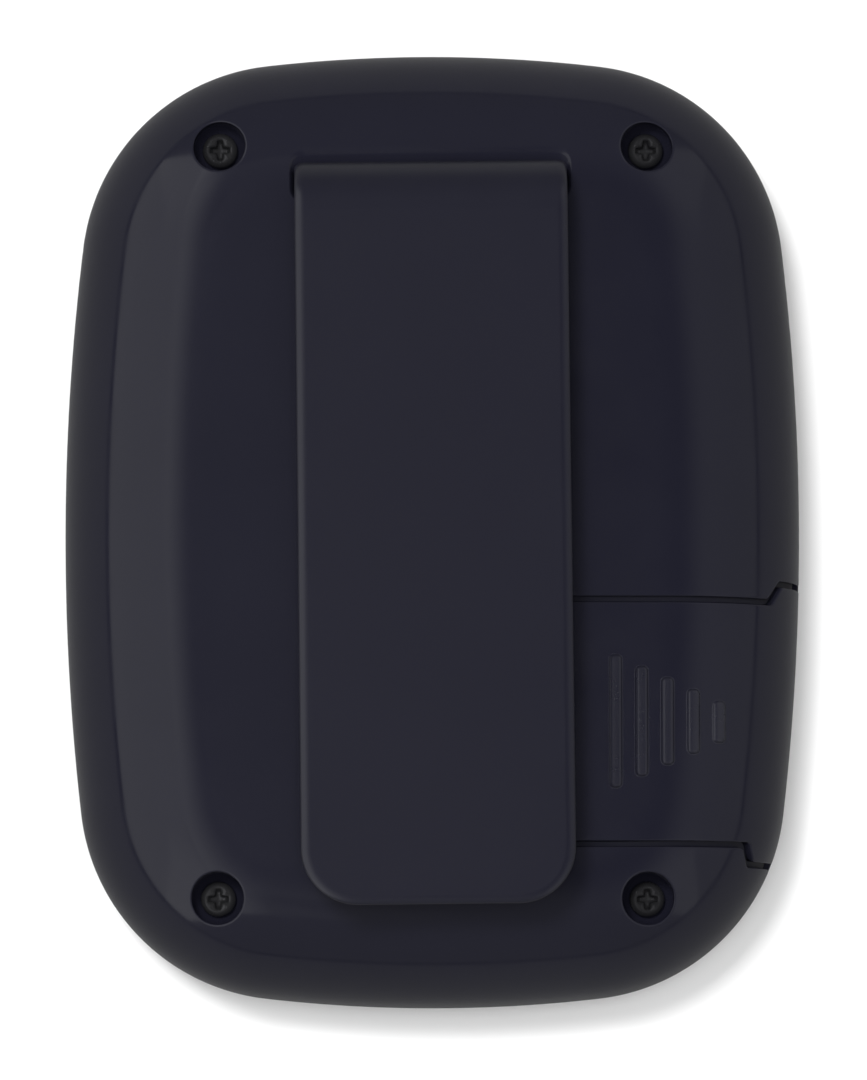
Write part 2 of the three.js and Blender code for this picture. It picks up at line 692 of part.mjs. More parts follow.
function switchBase(x) {
  const well = rod(1.9, [x, KEY_Y], SWITCH_FACE_Z - 1, SWITCH_FACE_Z + 1.3, 16);
  const body = block([x - 3, x + 3], [KEY_Y - 3, KEY_Y + 3], [SWITCH_FACE_Z, BOARD_Z]);
  return cut(body, well);
}
const switchPlunger = (x) => rod(1.55, [x, KEY_Y], KEY_BACK_Z, SWITCH_FACE_Z + 0.7, 16);

// A round speaker: a magnet pot behind a wider basket.
function speaker() {
  const profile = [
    [0, FRONT_WALL + GAP],
    [7.8, FRONT_WALL + GAP],
    [7.8, 3.4],
    [5.4, 4.4],
    [5.4, 6.6],
    [0, 6.6],
  ].map(([radius, height]) => new THREE.Vector2(radius, height));
  return solid(new THREE.LatheGeometry(profile, 20).rotateX(Math.PI / 2).translate(0, SPEAKER_Y, 0));
}

const lightPipe = () =>
  join(rod(LED_R, LED_SPOT, 0.3, 4.6, 14), rod(LED_R + 0.7, LED_SPOT, FRONT_WALL + GAP, 3.4, 14));
const alertLamp = () =>
  block([LED_SPOT[0] - 1.6, LED_SPOT[0] + 1.6], [LED_SPOT[1] - 0.8, LED_SPOT[1] + 0.8], [5.2, BOARD_Z]);

// ---------------------------------------------------------------- board and what it carries

function circuitBoard() {
  const board = plate(roundedRectangle(BOARD_SIZE, [0, 0], 3), BOARD_Z, BOARD_TOP_Z, 3);
  const holes = boardScrewSpots.map(([, x, y]) => rod(1, [x, y], BOARD_Z - 1, BOARD_TOP_Z + 1, 12));
  return cut(board, ...holes);
}

// A block of a width, length and height that stands on the board, centred on a spot.
function onBoard([width, length, height], [x, y]) {
  const xs = [x - width / 2, x + width / 2];
  const ys = [y - length / 2, y + length / 2];
  return block(xs, ys, [BOARD_TOP_Z, BOARD_TOP_Z + height]);
}

// An oval metal can, as a crystal is.
const crystalCan = () =>
  plate(roundedRectangle([9.6, 3.8], [17, 21.5], 1.85), BOARD_TOP_Z, BOARD_TOP_Z + 3.4);

// A flat metal loop that stands on the board and receives the signal.
function loopAntenna() {
  const [half, top] = [19, 19.6];
  const outer = block([-half, half], [25.6, 26.6], [BOARD_TOP_Z, top]);
  return cut(outer, block([-half + 1.6, half - 1.6], [25, 27], [BOARD_TOP_Z - 1, top - 1.6]));
}

const motorAt = (x) => [x, MOTOR_Y, MOTOR_Z];
const vibrationMotor = () =>
  turnedAlongX([[0, 0], [MOTOR_R, 0], [MOTOR_R, 12], [1.4, 12], [1.4, 12.6], [0, 12.6]], motorAt(-24));

// The rubber boot that holds the motor on the board.
function motorCradle() {
  const boot = block([-22, -14], [MOTOR_Y - 4.2, MOTOR_Y + 4.2], [BOARD_TOP_Z, MOTOR_Z + 0.6]);
  const seat = turnedAlongX([[0, 0], [MOTOR_R + GAP, 0], [MOTOR_R + GAP, 20], [0, 20]], motorAt(-26));
  return cut(boot, seat);
}

// The shaft and the half-round weight that hangs from it, which spin together.
function motorWeight() {
  const length = 4;
  const x = -10.4;
  const disc = turnedAlongX([[0, 0], [2.7, 0], [2.7, length], [0, length]], motorAt(x));
  const half = block([x - 1, x + 5], [MOTOR_Y - 4, MOTOR_Y + 4], [MOTOR_Z - 4, MOTOR_Z + 0.6]);
  const shaft = turnedAlongX([[0, 0], [0.6, 0], [0.6, 5.2], [0, 5.2]], motorAt(-11.1), 12);
  return join(disc.intersect(half), shaft);
}

// ---------------------------------------------------------------- the assembly

const pager = new THREE.Group();

function add(name, shape, material) {
  const geometry = shape.isBufferGeometry ? shape : geometryOf(shape);
  const mesh = new THREE.Mesh(geometry, material);
  mesh.name = name;
  pager.add(mesh);
}

add("rear_cover", rearCover(), GLOSS_BLACK);
add("front_cover", frontCover(), GLOSS_BLACK);
add("battery_door", batteryDoor(), GLOSS_BLACK);
add("belt_clip", beltClip(), SATIN_BLACK);
for (const [place, x, y] of screwSpots) add(`case_screw_${place}`, caseScrew([x, y]), BLACK_STEEL);

add("battery_tray", batteryTray(), SATIN_BLACK);
add("battery_cell_upper", cell(UPPER_CELL_Y, 1), CELL_JACKET);
add("battery_cell_lower", cell(LOWER_CELL_Y, -1), CELL_JACKET);
add("positive_contact", positiveContact(), STEEL);
add("negative_contact", negativeContact(), STEEL);
add("tray_spring", batterySpring(TRAY_LEFT_X + 1.8, CELL_X - 0.28, UPPER_CELL_Y), STEEL);
add("bridge_contact", bridgeContact(), STEEL);
add("door_spring", batterySpring(24.1, CELL_X + CELL_LENGTH + 0.28, LOWER_CELL_Y), STEEL);
add("negative_lead", lead(UPPER_CELL_Y, -5, 0), CHIP_BLACK);
add("positive_lead", lead(LOWER_CELL_Y, -2.6, 1.1), RED);

add("display_window", displayWindow(), CLEAR);
add("window_gasket", windowGasket(), RUBBER);
add("lcd_front_glass", glassSheet(grown(LCD_SIZE, -2.4), LCD_Z), LCD_GREY);
add("lcd_rear_glass", glassSheet(LCD_SIZE, LCD_Z + LCD_GLASS), LCD_GREY);
add("lcd_holder", frameOf([48, 32], [46.6, 30.6], [0, DISPLAY_Y], 0.5, LCD_Z, BOARD_Z), WHITE_PLASTIC);
add("lcd_connector_upper", lcdConnector(1), CONNECTOR_GREY);
add("lcd_connector_lower", lcdConnector(-1), CONNECTOR_GREY);
add("backlight_panel", backlight(), WHITE_PLASTIC);

for (const [place, x] of keySpots) {
  add(`key_${place}`, keyCap(x), RUBBER);
  add(`key_plunger_${place}`, switchPlunger(x), WHITE_PLASTIC);
  add(`key_switch_${place}`, switchBase(x), STEEL);
}
add("speaker", speaker(), STEEL);
add("light_pipe", lightPipe(), CLEAR);
add("alert_lamp", alertLamp(), RED);

add("circuit_board", circuitBoard(), BOARD_GREEN);
for (const [place, x, y] of boardScrewSpots) add(`board_screw_${place}`, boardScrew([x, y]), STEEL);
add("receiver_module", onBoard([17, 13, 3], [-12, 17]), STEEL);
add("processor_chip", onBoard([11, 11, 1.6], [4, 17]), CHIP_BLACK);
add("memory_chip", onBoard([6, 5, 1.5], [6, 4]), CHIP_BLACK);
add("clock_crystal", crystalCan(), STEEL);
add("capacitor", rod(3.15, [20, 8], BOARD_TOP_Z, 15.6, 18), CHIP_BLACK);
add("loop_antenna", loopAntenna(), GOLD);
add("vibration_motor", vibrationMotor(), STEEL);
add("motor_cradle", motorCradle(), RUBBER);
add("motor_weight", motorWeight(), GOLD);

export default pager;
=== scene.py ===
"""A pocket pager lying on its front, seen from behind: the looks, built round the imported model.

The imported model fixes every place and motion. Mesh code here works in millimetres in the model's
frame, and each piece becomes a Blender mesh in metres.
"""

import json
import math

import bmesh
import bpy
import numpy as np
from mathutils import Matrix, Vector
from mathutils.geometry import delaunay_2d_cdt


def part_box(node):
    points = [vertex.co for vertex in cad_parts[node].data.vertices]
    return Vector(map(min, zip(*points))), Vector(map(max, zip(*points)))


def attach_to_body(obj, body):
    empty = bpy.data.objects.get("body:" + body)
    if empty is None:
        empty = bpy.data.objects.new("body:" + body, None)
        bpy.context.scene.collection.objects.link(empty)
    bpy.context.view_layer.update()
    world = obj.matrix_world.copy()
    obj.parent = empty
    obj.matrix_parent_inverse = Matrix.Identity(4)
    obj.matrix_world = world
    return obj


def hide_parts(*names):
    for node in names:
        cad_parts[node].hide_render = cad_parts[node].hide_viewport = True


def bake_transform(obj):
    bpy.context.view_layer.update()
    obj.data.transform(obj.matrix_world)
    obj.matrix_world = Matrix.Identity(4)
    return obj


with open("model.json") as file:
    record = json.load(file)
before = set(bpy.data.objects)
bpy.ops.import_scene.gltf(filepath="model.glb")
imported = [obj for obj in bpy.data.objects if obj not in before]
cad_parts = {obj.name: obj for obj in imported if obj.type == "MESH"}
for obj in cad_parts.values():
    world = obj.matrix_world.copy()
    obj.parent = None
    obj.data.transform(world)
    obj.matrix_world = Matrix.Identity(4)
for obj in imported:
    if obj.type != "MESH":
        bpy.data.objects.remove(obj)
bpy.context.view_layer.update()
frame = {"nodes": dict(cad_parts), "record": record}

MM = 0.001

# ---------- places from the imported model


def box_mm(node):
    """A CAD node's lowest and highest corners, in millimetres."""
    low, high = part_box(node)
    return np.array(low) / MM, np.array(high) / MM


def middle(node):
    """The middle of a CAD node's box, in millimetres."""
    low, high = box_mm(node)
    return (low + high) / 2


HALF_WIDTH, HALF_LENGTH, BACK_Z = box_mm("rear_cover")[1]
PARTING_Z = box_mm("rear_cover")[0][2]

# The outline's arcs, and the reach of the two rounded edges.
SIDE_ARC, END_ARC, CORNER_ARC = 222.0, 133.5, 19.2
REAR_SHOULDER, FRONT_SHOULDER = 13.0, 8.0
REAR_WALL, FRONT_WALL = 1.8, 2.2
EDGE = 0.22  # the rounding of the covers' thin edges

SCREW_X, SCREW_Y = middle("case_screw_top_right")[:2]
SCREW_SPOTS = [(x * SCREW_X, y * SCREW_Y) for x in (-1, 1) for y in (-1, 1)]
SCREW_SEAT = 17.4
WELL_R, WELL_RIM = 2.35, 0.22
SHANK_HOLE_R = 1.25
REAR_BOSS_R, REAR_BOSS_Z = 3.6, 13.5
WELL_STEPS = (
    (WELL_R, SCREW_SEAT),
    (SHANK_HOLE_R, SCREW_SEAT),
    (SHANK_HOLE_R, REAR_BOSS_Z),
    (REAR_BOSS_R, REAR_BOSS_Z),
)
FRONT_BOSS_R, FRONT_BOSS_Z = 2.6, 13.2

DOOR_Y = middle("battery_door")[1]
NOTCH_LEFT = -11.5
NOTCH_HALF = 11.2
NOTCH_EAR = 1.75  # how much wider the notch is near the parting line
EAR_TOP_Z, LID_Z = 16.8, 18.3
EAR_STEPS, LID_STEPS = (11.9, 14.2), (19.7, 20.8, 21.8, 22.5)  # the edge is straight between these
NOTCH_EASE, DOOR_EASE = 0.08, -0.42  # the seam: how far each side's edge is from the notch's nominal edge
DOOR_FOOT_Z = box_mm("battery_door")[0][2]
DOOR_CORNER = 0.7
RAIL_END_X, TONGUE_HALF = 20, 1.7
SEAT_DEPTH, SEAT_THICK = 0.6, 0.5  # the ledge at the bottom of the seam
RIB_COUNT, RIB_FIRST_X, RIB_PITCH = 5, 16.45, 2.33
RIB_WIDTH, RIB_LONGEST, RIB_SHORTER, RIB_HEIGHT = 1.15, 12.0, 2.05, 0.35
RIB_CORNER, RIB_ROUNDING = 0.47, 0.38

POCKET_FLOOR = 18.6
CLIP_FOOT_Z = POCKET_FLOOR + 0.3
POCKET_CENTRE, POCKET_SIZE, POCKET_SLOPE = (0, 30.8), (24.7, 2.95), 0.8
POCKET_RIM_CENTRE, POCKET_RIM_SIZE = (0, 31.3), (25.6, 5.2)
POCKET_BLOCK_CENTRE, POCKET_BLOCK_SIZE, POCKET_BLOCK_Z = (0.0, 31.15), (28.7, 7.5), 17.2
BARB_X, BARB_SLOT = 7.0, (6, 2.2)

DISPLAY_Y = middle("display_window")[1]
LENS_SIZE = np.subtract(*box_mm("display_window")[::-1])[:2]
WINDOW_SIZE = (41.0, 26.0)
KEY_HOLE = (11.2, 8.2)
LAMP_R = 1.4

# The distance between the points of an outer skin, of the door's, and of an inner side.
SPREAD, DOOR_SPREAD, INNER_SPREAD = 0.9, 0.7, 1.8


# ---------- the case's outline and skins


def unit(vectors):
    """The same directions, one unit long."""
    return vectors / np.linalg.norm(vectors, axis=-1, keepdims=True)


def spokes(angles):
    """Directions in a plane at these angles."""
    return np.column_stack([np.cos(angles), np.sin(angles)])


SIDE_X, END_Y = HALF_WIDTH - SIDE_ARC, HALF_LENGTH - END_ARC


def corner_centre():
    """The centre of the outline's corner arc in the first quarter: it touches the side and end arcs."""
    side, end = np.array([SIDE_X, 0]), np.array([0, END_Y])
    side_reach, end_reach = SIDE_ARC - CORNER_ARC, END_ARC - CORNER_ARC
    apart = np.linalg.norm(end - side)
    along = (side_reach**2 - end_reach**2 + apart**2) / (2 * apart)
    across = math.sqrt(side_reach**2 - along**2)
    direction = (end - side) / apart
    return side + along * direction + across * np.array([-direction[1], direction[0]])


CORNER = corner_centre()
SIDE_ANGLE = math.atan2(CORNER[1], CORNER[0] - SIDE_X)
END_ANGLE = math.atan2(CORNER[0], CORNER[1] - END_Y)


def arc_frame(points):
    """For each plan point: the centre and radius of the outline's arc that it belongs to, and its
    distance and direction from that centre."""
    x, y = np.abs(points).T
    by_side = np.arctan2(y, x - SIDE_X) < SIDE_ANGLE
    by_end = np.arctan2(x, y - END_Y) < END_ANGLE
    nearer_side = SIDE_ARC - np.hypot(x - SIDE_X, y) < END_ARC - np.hypot(x, y - END_Y)
    arc = np.where(by_side & (~by_end | nearer_side), 0, np.where(by_end, 1, 2))
    centre = np.array([(SIDE_X, 0), (0, END_Y), CORNER])[arc] * np.where(points < 0, -1, 1)
    distance = np.linalg.norm(points - centre, axis=1)
    radius = np.array([SIDE_ARC, END_ARC, CORNER_ARC])[arc]
    return centre, radius, distance, (points - centre) / distance[:, None]


class Skin:
    """A cover's outer surface: flat in the middle, then a quarter ellipse out to the parting line.

    A place on it is a point of the unrolled plane: the plan view with the rounded edge rolled out
    flat, so that distances in the plane are close to those on the surface.
    """

    def __init__(self, reach, rise, base, up):
        self.reach, self.rise, self.base, self.up = reach, rise, base, up
        turn = np.linspace(math.pi / 2, 0, 400)
        steps = np.hypot(np.diff(reach * np.cos(turn)), np.diff(rise * np.sin(turn)))
        self.turns = turn
        self.lengths = np.concatenate([[0], np.cumsum(steps)])
        self.edge = self.lengths[-1]  # the surface distance from the flat to the parting line

    def lift(self, places, depth=0.0):
        """Points on the surface, or a depth below it, and the surface's normals there."""
        places = np.asarray(places, float)
        centre, radius, distance, direction = arc_frame(places)
        rolled = np.clip(distance - (radius - self.reach), 0, self.edge)
        turn = np.interp(rolled, self.lengths, self.turns)
        inset = self.reach * (1 - np.cos(turn))
        plan = np.where((rolled > 0)[:, None], centre + direction * (radius - inset)[:, None], places)
        height = self.base + self.up * self.rise * np.sin(turn)
        outward = direction * (np.cos(turn) / self.reach)[:, None]
        normals = unit(np.column_stack([outward, self.up * np.sin(turn) / self.rise]))
        points = np.column_stack([plan, height])
        return points - np.reshape(depth, (-1, 1)) * normals, normals

    def find(self, plan, depth=0.0):
        """The places whose points, at a depth, have these plan positions."""
        places = np.array(plan, float)
        for _ in range(80):
            places += plan - self.lift(places, depth)[0][:, :2]
        return places

    def on_right_wall(self, y, height):
        """The place on the right-hand rounded edge at a y and a height."""
        turn = math.asin(min(1.0, abs(height - self.base) / self.rise))
        inset = self.reach * (1 - math.cos(turn))
        x = SIDE_X + math.sqrt((SIDE_ARC - inset) ** 2 - y**2)
        if math.atan2(abs(y), x - SIDE_X) > SIDE_ANGLE:
            x = CORNER[0] + math.sqrt((CORNER_ARC - inset) ** 2 - (abs(y) - CORNER[1]) ** 2)
        centre, radius, _, direction = arc_frame(np.array([[x, y]]))
        rolled = np.interp(-turn, -self.turns, self.lengths)
        return (centre + direction * (radius - self.reach + rolled)[:, None])[0]

    def rim_places(self, step=0.75):
        """Places all round the parting line, counter-clockwise from y = 0 on the right."""
        grow = self.edge - self.reach
        quarter = []
        for centre, radius, start, stop in (
            ((SIDE_X, 0), SIDE_ARC, 0, SIDE_ANGLE),
            (CORNER, CORNER_ARC, SIDE_ANGLE, math.pi / 2 - END_ANGLE),
            ((0, END_Y), END_ARC, math.pi / 2 - END_ANGLE, math.pi / 2),
        ):
            count = max(3, math.ceil((stop - start) * (radius + grow) / step))
            angles = np.linspace(start, stop, count, endpoint=False)
            quarter.append(np.array(centre) + (radius + grow) * spokes(angles))
        right_up = np.vstack(quarter)
        top = np.array([[0.0, END_Y + END_ARC + grow]])
        left_up = right_up[::-1] * (-1, 1)
        upper = np.concatenate([right_up, top, left_up])
        return np.concatenate([upper, -upper[1:-1]])


REAR = Skin(REAR_SHOULDER, BACK_Z - PARTING_Z, PARTING_Z, 1)
FRONT = Skin(FRONT_SHOULDER, PARTING_Z, PARTING_Z, -1)


# ---------- loops in a plane


def circle(centre, radius, count=48):
    return np.array(centre) + radius * spokes(np.linspace(0, 2 * math.pi, count, endpoint=False))


def rounded_box(centre, size, radius, corner_steps=6, side_steps=8):
    """A counter-clockwise rectangle with round corners. Equal steps make loops match point for point."""
    half = np.array(size) / 2 - radius
    arcs = []
    for quarter, sign in enumerate(((1, 1), (-1, 1), (-1, -1), (1, -1))):
        turns = np.linspace(0, math.pi / 2, corner_steps + 1) + quarter * math.pi / 2
        arcs.append(np.array(centre) + half * sign + radius * spokes(turns))
    loop = []
    shares = np.linspace(0, 1, side_steps + 1)[1:-1, None]
    for arc, following in zip(arcs, arcs[1:] + arcs[:1]):
        loop += [arc, arc[-1] + shares * (following[0] - arc[-1])]
    return np.vstack(loop)


def stadium(centre, size, arc_steps=12, side_steps=8):
    """A counter-clockwise loop with two straight sides and two half-circle ends."""
    radius = min(size) / 2
    reach = max(size) / 2 - radius
    along = np.array([1.0, 0.0]) if size[0] > size[1] else np.array([0.0, 1.0])
    across = np.array([-along[1], along[0]])
    turns = np.linspace(-math.pi / 2, math.pi / 2, arc_steps + 1)
    end = reach * along + radius * spokes(turns) @ (along, across)
    shares = np.linspace(0, 1, side_steps + 1)[1:-1, None]
    half = np.vstack([end, reach * (1 - 2 * shares) * along + radius * across])
    return centre + np.vstack([half, -half])


def line(start, stop, step=0.8):
    """Even points from start to stop."""
    count = max(1, math.ceil(np.linalg.norm(stop - start) / step))
    return start + (stop - start) * np.linspace(0, 1, count + 1)[:, None]


def rounded_path(corners, radius, step=0.8, closed=False):
    """A path through points in which every real corner is rounded and no gap is longer than step."""
    corners = np.array(corners, float)
    count = len(corners)
    path = []
    for i, here in enumerate(corners):
        if not closed and i in (0, count - 1):
            path.append(here)
            continue
        before, after = unit(corners[i - 1] - here), unit(corners[(i + 1) % count] - here)
        opening = math.acos(np.clip(before @ after, -1, 1))
        if opening > math.radians(160):
            path.append(here)
            continue
        away = radius / math.tan(opening / 2)
        centre = here + unit(before + after) * radius / math.sin(opening / 2)
        first, last = here + away * before - centre, here + away * after - centre
        turn = math.pi - opening
        steps = max(3, math.ceil(turn / math.radians(18)))
        for share in np.linspace(0, 1, steps + 1):
            spread = (math.sin((1 - share) * turn) * first + math.sin(share * turn) * last) / math.sin(turn)
            path.append(centre + spread)
    filled = []
    for start, stop in zip(path, path[1:] + (path[:1] if closed else [])):
        filled += list(line(start, stop, step)[:-1])
    if not closed:
        filled.append(path[-1])
    return np.array(filled)


def to_the_right(along):
    """Directions in a plane, turned a quarter clockwise."""
    return unit(np.column_stack([along[:, 1], -along[:, 0]]))


def grown(loop, amount):
    """A closed counter-clockwise loop moved outwards, or inwards when the amount is negative."""
    return loop + amount * to_the_right(np.roll(loop, -1, axis=0) - np.roll(loop, 1, axis=0))


def inside(points, loops):
    """Which points are inside an odd number of the loops."""
    odd = np.zeros(len(points), bool)
    x, y = points[:, 0][:, None], points[:, 1][:, None]
    for loop in loops:
        x0, y0 = loop.T
        x1, y1 = np.roll(loop, -1, axis=0).T
        crosses = (y0 > y) != (y1 > y)
        with np.errstate(divide="ignore", invalid="ignore"):
            at = x0 + (y - y0) * (x1 - x0) / (y1 - y0)
        odd ^= (np.count_nonzero(crosses & (x < at), axis=1) % 2).astype(bool)
    return odd


# ---------- building meshes


class Shape:
    """A closed mesh, built up from filled patches and from strips between rings of points."""

    def __init__(self):
        self.points = np.zeros((0, 3))
        self.normals = np.zeros((0, 3))
        self.faces = []

    def add(self, points, normals=None):
        """Adds points and gives their indices. Only points of a smooth skin have known normals."""
        start = len(self.points)
        self.points = np.vstack([self.points, points])
        self.normals = np.vstack([self.normals, np.zeros((len(points), 3)) if normals is None else normals])
        return list(range(start, len(self.points)))

    def strip(self, ring, other):
        """Faces between two rings with the same number of points."""
        self.faces += zip(ring, ring[1:] + ring[:1], other[1:] + other[:1], other)
        return other

    def chain(self, rings):
        """Faces from each ring to the next."""
        for ring, following in zip(rings, rings[1:]):
            self.strip(ring, following)

    def wall(self, ring, points):
        """Faces from a ring to new points."""
        return self.strip(ring, self.add(points))

    def walls(self, ring, levels):
        """Faces from a ring to flat loops in turn, each given as (plan points, z)."""
        for plan, z in levels:
            ring = self.wall(ring, at_height(plan, z))
        return ring

    def close(self, ring):
        """Fills a small ring with a fan round its middle."""
        hub = self.add([self.points[ring].mean(axis=0)]) * len(ring)
        self.faces += zip(ring, ring[1:] + ring[:1], hub)

    def tube(self, rings):
        """Faces from each ring to the next, and both ends closed."""
        self.chain(rings)
        self.close(rings[0])
        self.close(rings[-1])

    def fill(self, borders, surface=None, spread=SPREAD):
        """Triangles between rings of existing points. A border is a ring's places in a plane and the
        ring, the outer one first. On a surface, new points are spread over the middle."""
        loops = [places for places, _ in borders]
        flat = np.vstack(loops)
        index = [point for _, ring in borders for point in ring]
        if surface is not None:
            extra = spread_points(loops, spread)
            index += self.add(*surface(extra))
            flat = np.vstack([flat, extra])
        edges, filled_left, start = [], {}, 0
        for number, loop in enumerate(loops):
            leftwards = (signed_area(loop) > 0) == (number == 0)
            for k in range(len(loop)):
                edge = (start + k, start + (k + 1) % len(loop))
                edges.append(edge)
                filled_left[edge] = leftwards
                filled_left[edge[::-1]] = not leftwards
            start += len(loop)
        flat = [Vector(place) for place in flat]
        _, _, triangles, sources, _, _ = delaunay_2d_cdt(flat, edges, [], 0, 1e-7, True)
        corners = [tuple(sources[v][0] for v in t) for t in triangles]
        self.faces += [tuple(index[v] for v in t) for t in kept_triangles(corners, filled_left)]

    def build(self, name, sharp=40.0):
        """The Blender object, in metres, with smooth shading that breaks at sharp angles."""
        mesh = bpy.data.meshes.new(name)
        mesh.from_pydata((self.points * MM).tolist(), [], self.faces)
        work = bmesh.new()
        work.from_mesh(mesh)
        bmesh.ops.recalc_face_normals(work, faces=work.faces)
        work.to_mesh(mesh)
        work.free()
        smooth(mesh, sharp)
        if np.any(self.normals):
            mesh.normals_split_custom_set_from_vertices(self.normals.tolist())
        return add_object(name, mesh)


def add_object(name, data):
    obj = bpy.data.objects.new(name, data)
    bpy.context.scene.collection.objects.link(obj)
    return obj


def signed_area(loop):
    """A loop's area, positive when it runs counter-clockwise."""
    following = np.roll(loop, -1, axis=0)
    return np.sum(loop[:, 0] * following[:, 1] - following[:, 0] * loop[:, 1]) / 2


def kept_triangles(triangles, filled_left):
    """The counter-clockwise triangles on the filled side of the border. Each border edge says whether
    its left side is filled, and the answer spreads from there to the neighbours."""
    owner = {}
    for number, (a, b, c) in enumerate(triangles):
        owner.update({(a, b): number, (b, c): number, (c, a): number})
    state = {owner[edge]: filled for edge, filled in filled_left.items() if edge in owner}
    waiting = list(state)
    while waiting:
        number = waiting.pop()
        a, b, c = triangles[number]
        for edge in ((a, b), (b, c), (c, a)):
            neighbour = owner.get(edge[::-1])
            if edge not in filled_left and neighbour is not None and neighbour not in state:
                state[neighbour] = state[number]
                waiting.append(neighbour)
    return [triangle for number, triangle in enumerate(triangles) if state.get(number)]


def spread_points(loops, spread):
    """Points in a triangular grid, inside the first loop, outside the others, and off all of them."""
    low, high = loops[0].min(axis=0), loops[0].max(axis=0)
    rows = []
    for row, y in enumerate(np.arange(low[1], high[1], spread * 0.866)):
        xs = np.arange(low[0] + (row % 2) * spread / 2, high[0], spread)
        rows.append(np.column_stack([xs, np.full(len(xs), y)]))
    points = np.vstack(rows)
    points = points[inside(points, loops)]
    borders = np.vstack(loops)
    clear = np.ones(len(points), bool)
    for i in range(0, len(points), 500):
        gaps = np.linalg.norm(points[i : i + 500, None] - borders[None], axis=2)
        clear[i : i + 500] = gaps.min(axis=1) > 0.62 * spread
    return points[clear]


def smooth(mesh, angle):
    """Smooth shading, broken at edges sharper than the angle in degrees."""
    mesh.polygons.foreach_set("use_smooth", np.ones(len(mesh.polygons), bool))
    mesh.set_sharp_from_angle(angle=math.radians(angle))


def bend(start, corner, stop, steps=5):
    """Rows of points that round a corner, from start to stop. The first row, start, is left out."""
    for t in np.linspace(0, 1, steps + 1)[1:]:
        yield (1 - t) ** 2 * start + 2 * t * (1 - t) * corner + t**2 * stop


def round_over(shape, ring, corner, direction, radius, steps=5):
    """Rounds a skin's edge over into a wall that runs in a direction, and gives the wall's first ring."""
    for points in bend(shape.points[ring], corner, corner + radius * direction, steps):
        ring = shape.wall(ring, points)
    return ring


def ease_in(t):
    t = np.clip(t, 0, 1)
    return t * t * (3 - 2 * t)


def at_height(plan, z):
    """Plan points at a height, or each at its own."""
    return np.column_stack([plan, np.broadcast_to(z, len(plan))])


DOWN, UP = np.array([0.0, 0.0, -1.0]), np.array([0.0, 0.0, 1.0])


# ---------- materials


def new_material(name):
    material = bpy.data.materials.new(name)
    material.use_nodes = True
    return material, material.node_tree, material.node_tree.nodes["Principled BSDF"]


def set_inputs(node, **values):
    """Sets a node's inputs. An underscore in a name stands for a space."""
    for name, value in values.items():
        node.inputs[name.replace("_", " ")].default_value = value


def texture(tree, kind, **values):
    """A texture in the object's own space."""
    where = tree.nodes.new("ShaderNodeTexCoord")
    node = tree.nodes.new("ShaderNodeTex" + kind)
    set_inputs(node, **values)
    tree.links.new(where.outputs["Object"], node.inputs["Vector"])
    return node


def noise(tree, scale, detail=4.0):
    """The shades of a noise texture, in features per metre."""
    return texture(tree, "Noise", Scale=scale, Detail=detail, Roughness=0.6).outputs["Fac"]


def ramp(tree, factor, low, high, start=0.35, stop=0.65):
    """A colour ramp between two colours or grey values."""
    node = tree.nodes.new("ShaderNodeValToRGB")
    for element, position, value in zip(node.color_ramp.elements, (start, stop), (low, high)):
        element.position = position
        element.color = (*value, 1) if isinstance(value, tuple) else (value, value, value, 1)
    tree.links.new(factor, node.inputs["Fac"])
    return node.outputs["Color"]


def bump(tree, height, strength, distance):
    node = tree.nodes.new("ShaderNodeBump")
    set_inputs(node, Strength=strength, Distance=distance)
    tree.links.new(height, node.inputs["Height"])
    return node.outputs["Normal"]


def surface(name, dark, light, rough, grain, grain_depth, metallic=0.0, specular=0.5, strength=0.3):
    """A material with cloudy colour, uneven roughness and a fine grain."""
    material, tree, shader = new_material(name)
    tree.links.new(ramp(tree, noise(tree, CLOUDS), dark, light), shader.inputs["Base Color"])
    tree.links.new(ramp(tree, noise(tree, SMEARS, 6), *rough), shader.inputs["Roughness"])
    tree.links.new(bump(tree, noise(tree, grain, 3), strength, grain_depth), shader.inputs["Normal"])
    set_inputs(shader, Metallic=metallic, Specular_IOR_Level=specular)
    return material


CLOUDS, SMEARS = 60, 300  # features per metre

CASE = surface("case_gloss", (0.0098, 0.0098, 0.0168), (0.0106, 0.0106, 0.018), (0.1, 0.15), 900, 2e-6)
# The seam's ledge: the case's plastic painted darker, as painted shade in the seam, and rougher.
SEAM_PAINTED_SHADE = surface(
    "seam_painted_shade", (0.0066, 0.0066, 0.0112), (0.0074, 0.0074, 0.0124), (0.5, 0.6), 3000, 8e-6
)
# The ribs' plastic: rougher and shinier than the case's, with its colour painted lighter as a painted sheen
# on the ribs.
RIB_SATIN_PAINTED_SHEEN = surface(
    "rib_satin_painted_sheen", (0.0112, 0.0112, 0.0185), (0.0122, 0.0122, 0.0198), (0.26, 0.32), 3000, 8e-6, specular=0.8
)
CLIP = surface(
    "clip_satin", (0.0078, 0.0078, 0.0148), (0.0084, 0.0084, 0.0156), (0.31, 0.34), 5000, 12e-6, specular=0.8
)


def paint(obj, material):
    """Gives an object one material."""
    obj.data.materials.clear()
    obj.data.materials.append(material)
    return obj


# ---------- camera, floor and lights

MM_PER_PIXEL = 0.09205  # at the level of the parting line
IMAGE_HEIGHT = 1080
CAMERA_DISTANCE = 0.66
CAMERA_TILT = math.radians(4.4)  # from straight down, towards the foot of the pager
CAMERA_SIDE = math.radians(-0.3)
CAMERA_TARGET = (0.11, -0.83, PARTING_Z)
SENSOR = 36

LIGHT_TARGET = Vector((0, 0, 0.012))
REFLECTOR_DISTANCE, REFLECTOR_LENGTH = 0.9, 2.0
FADE_STEPS = 6
FLOOR_REACH = 3.0


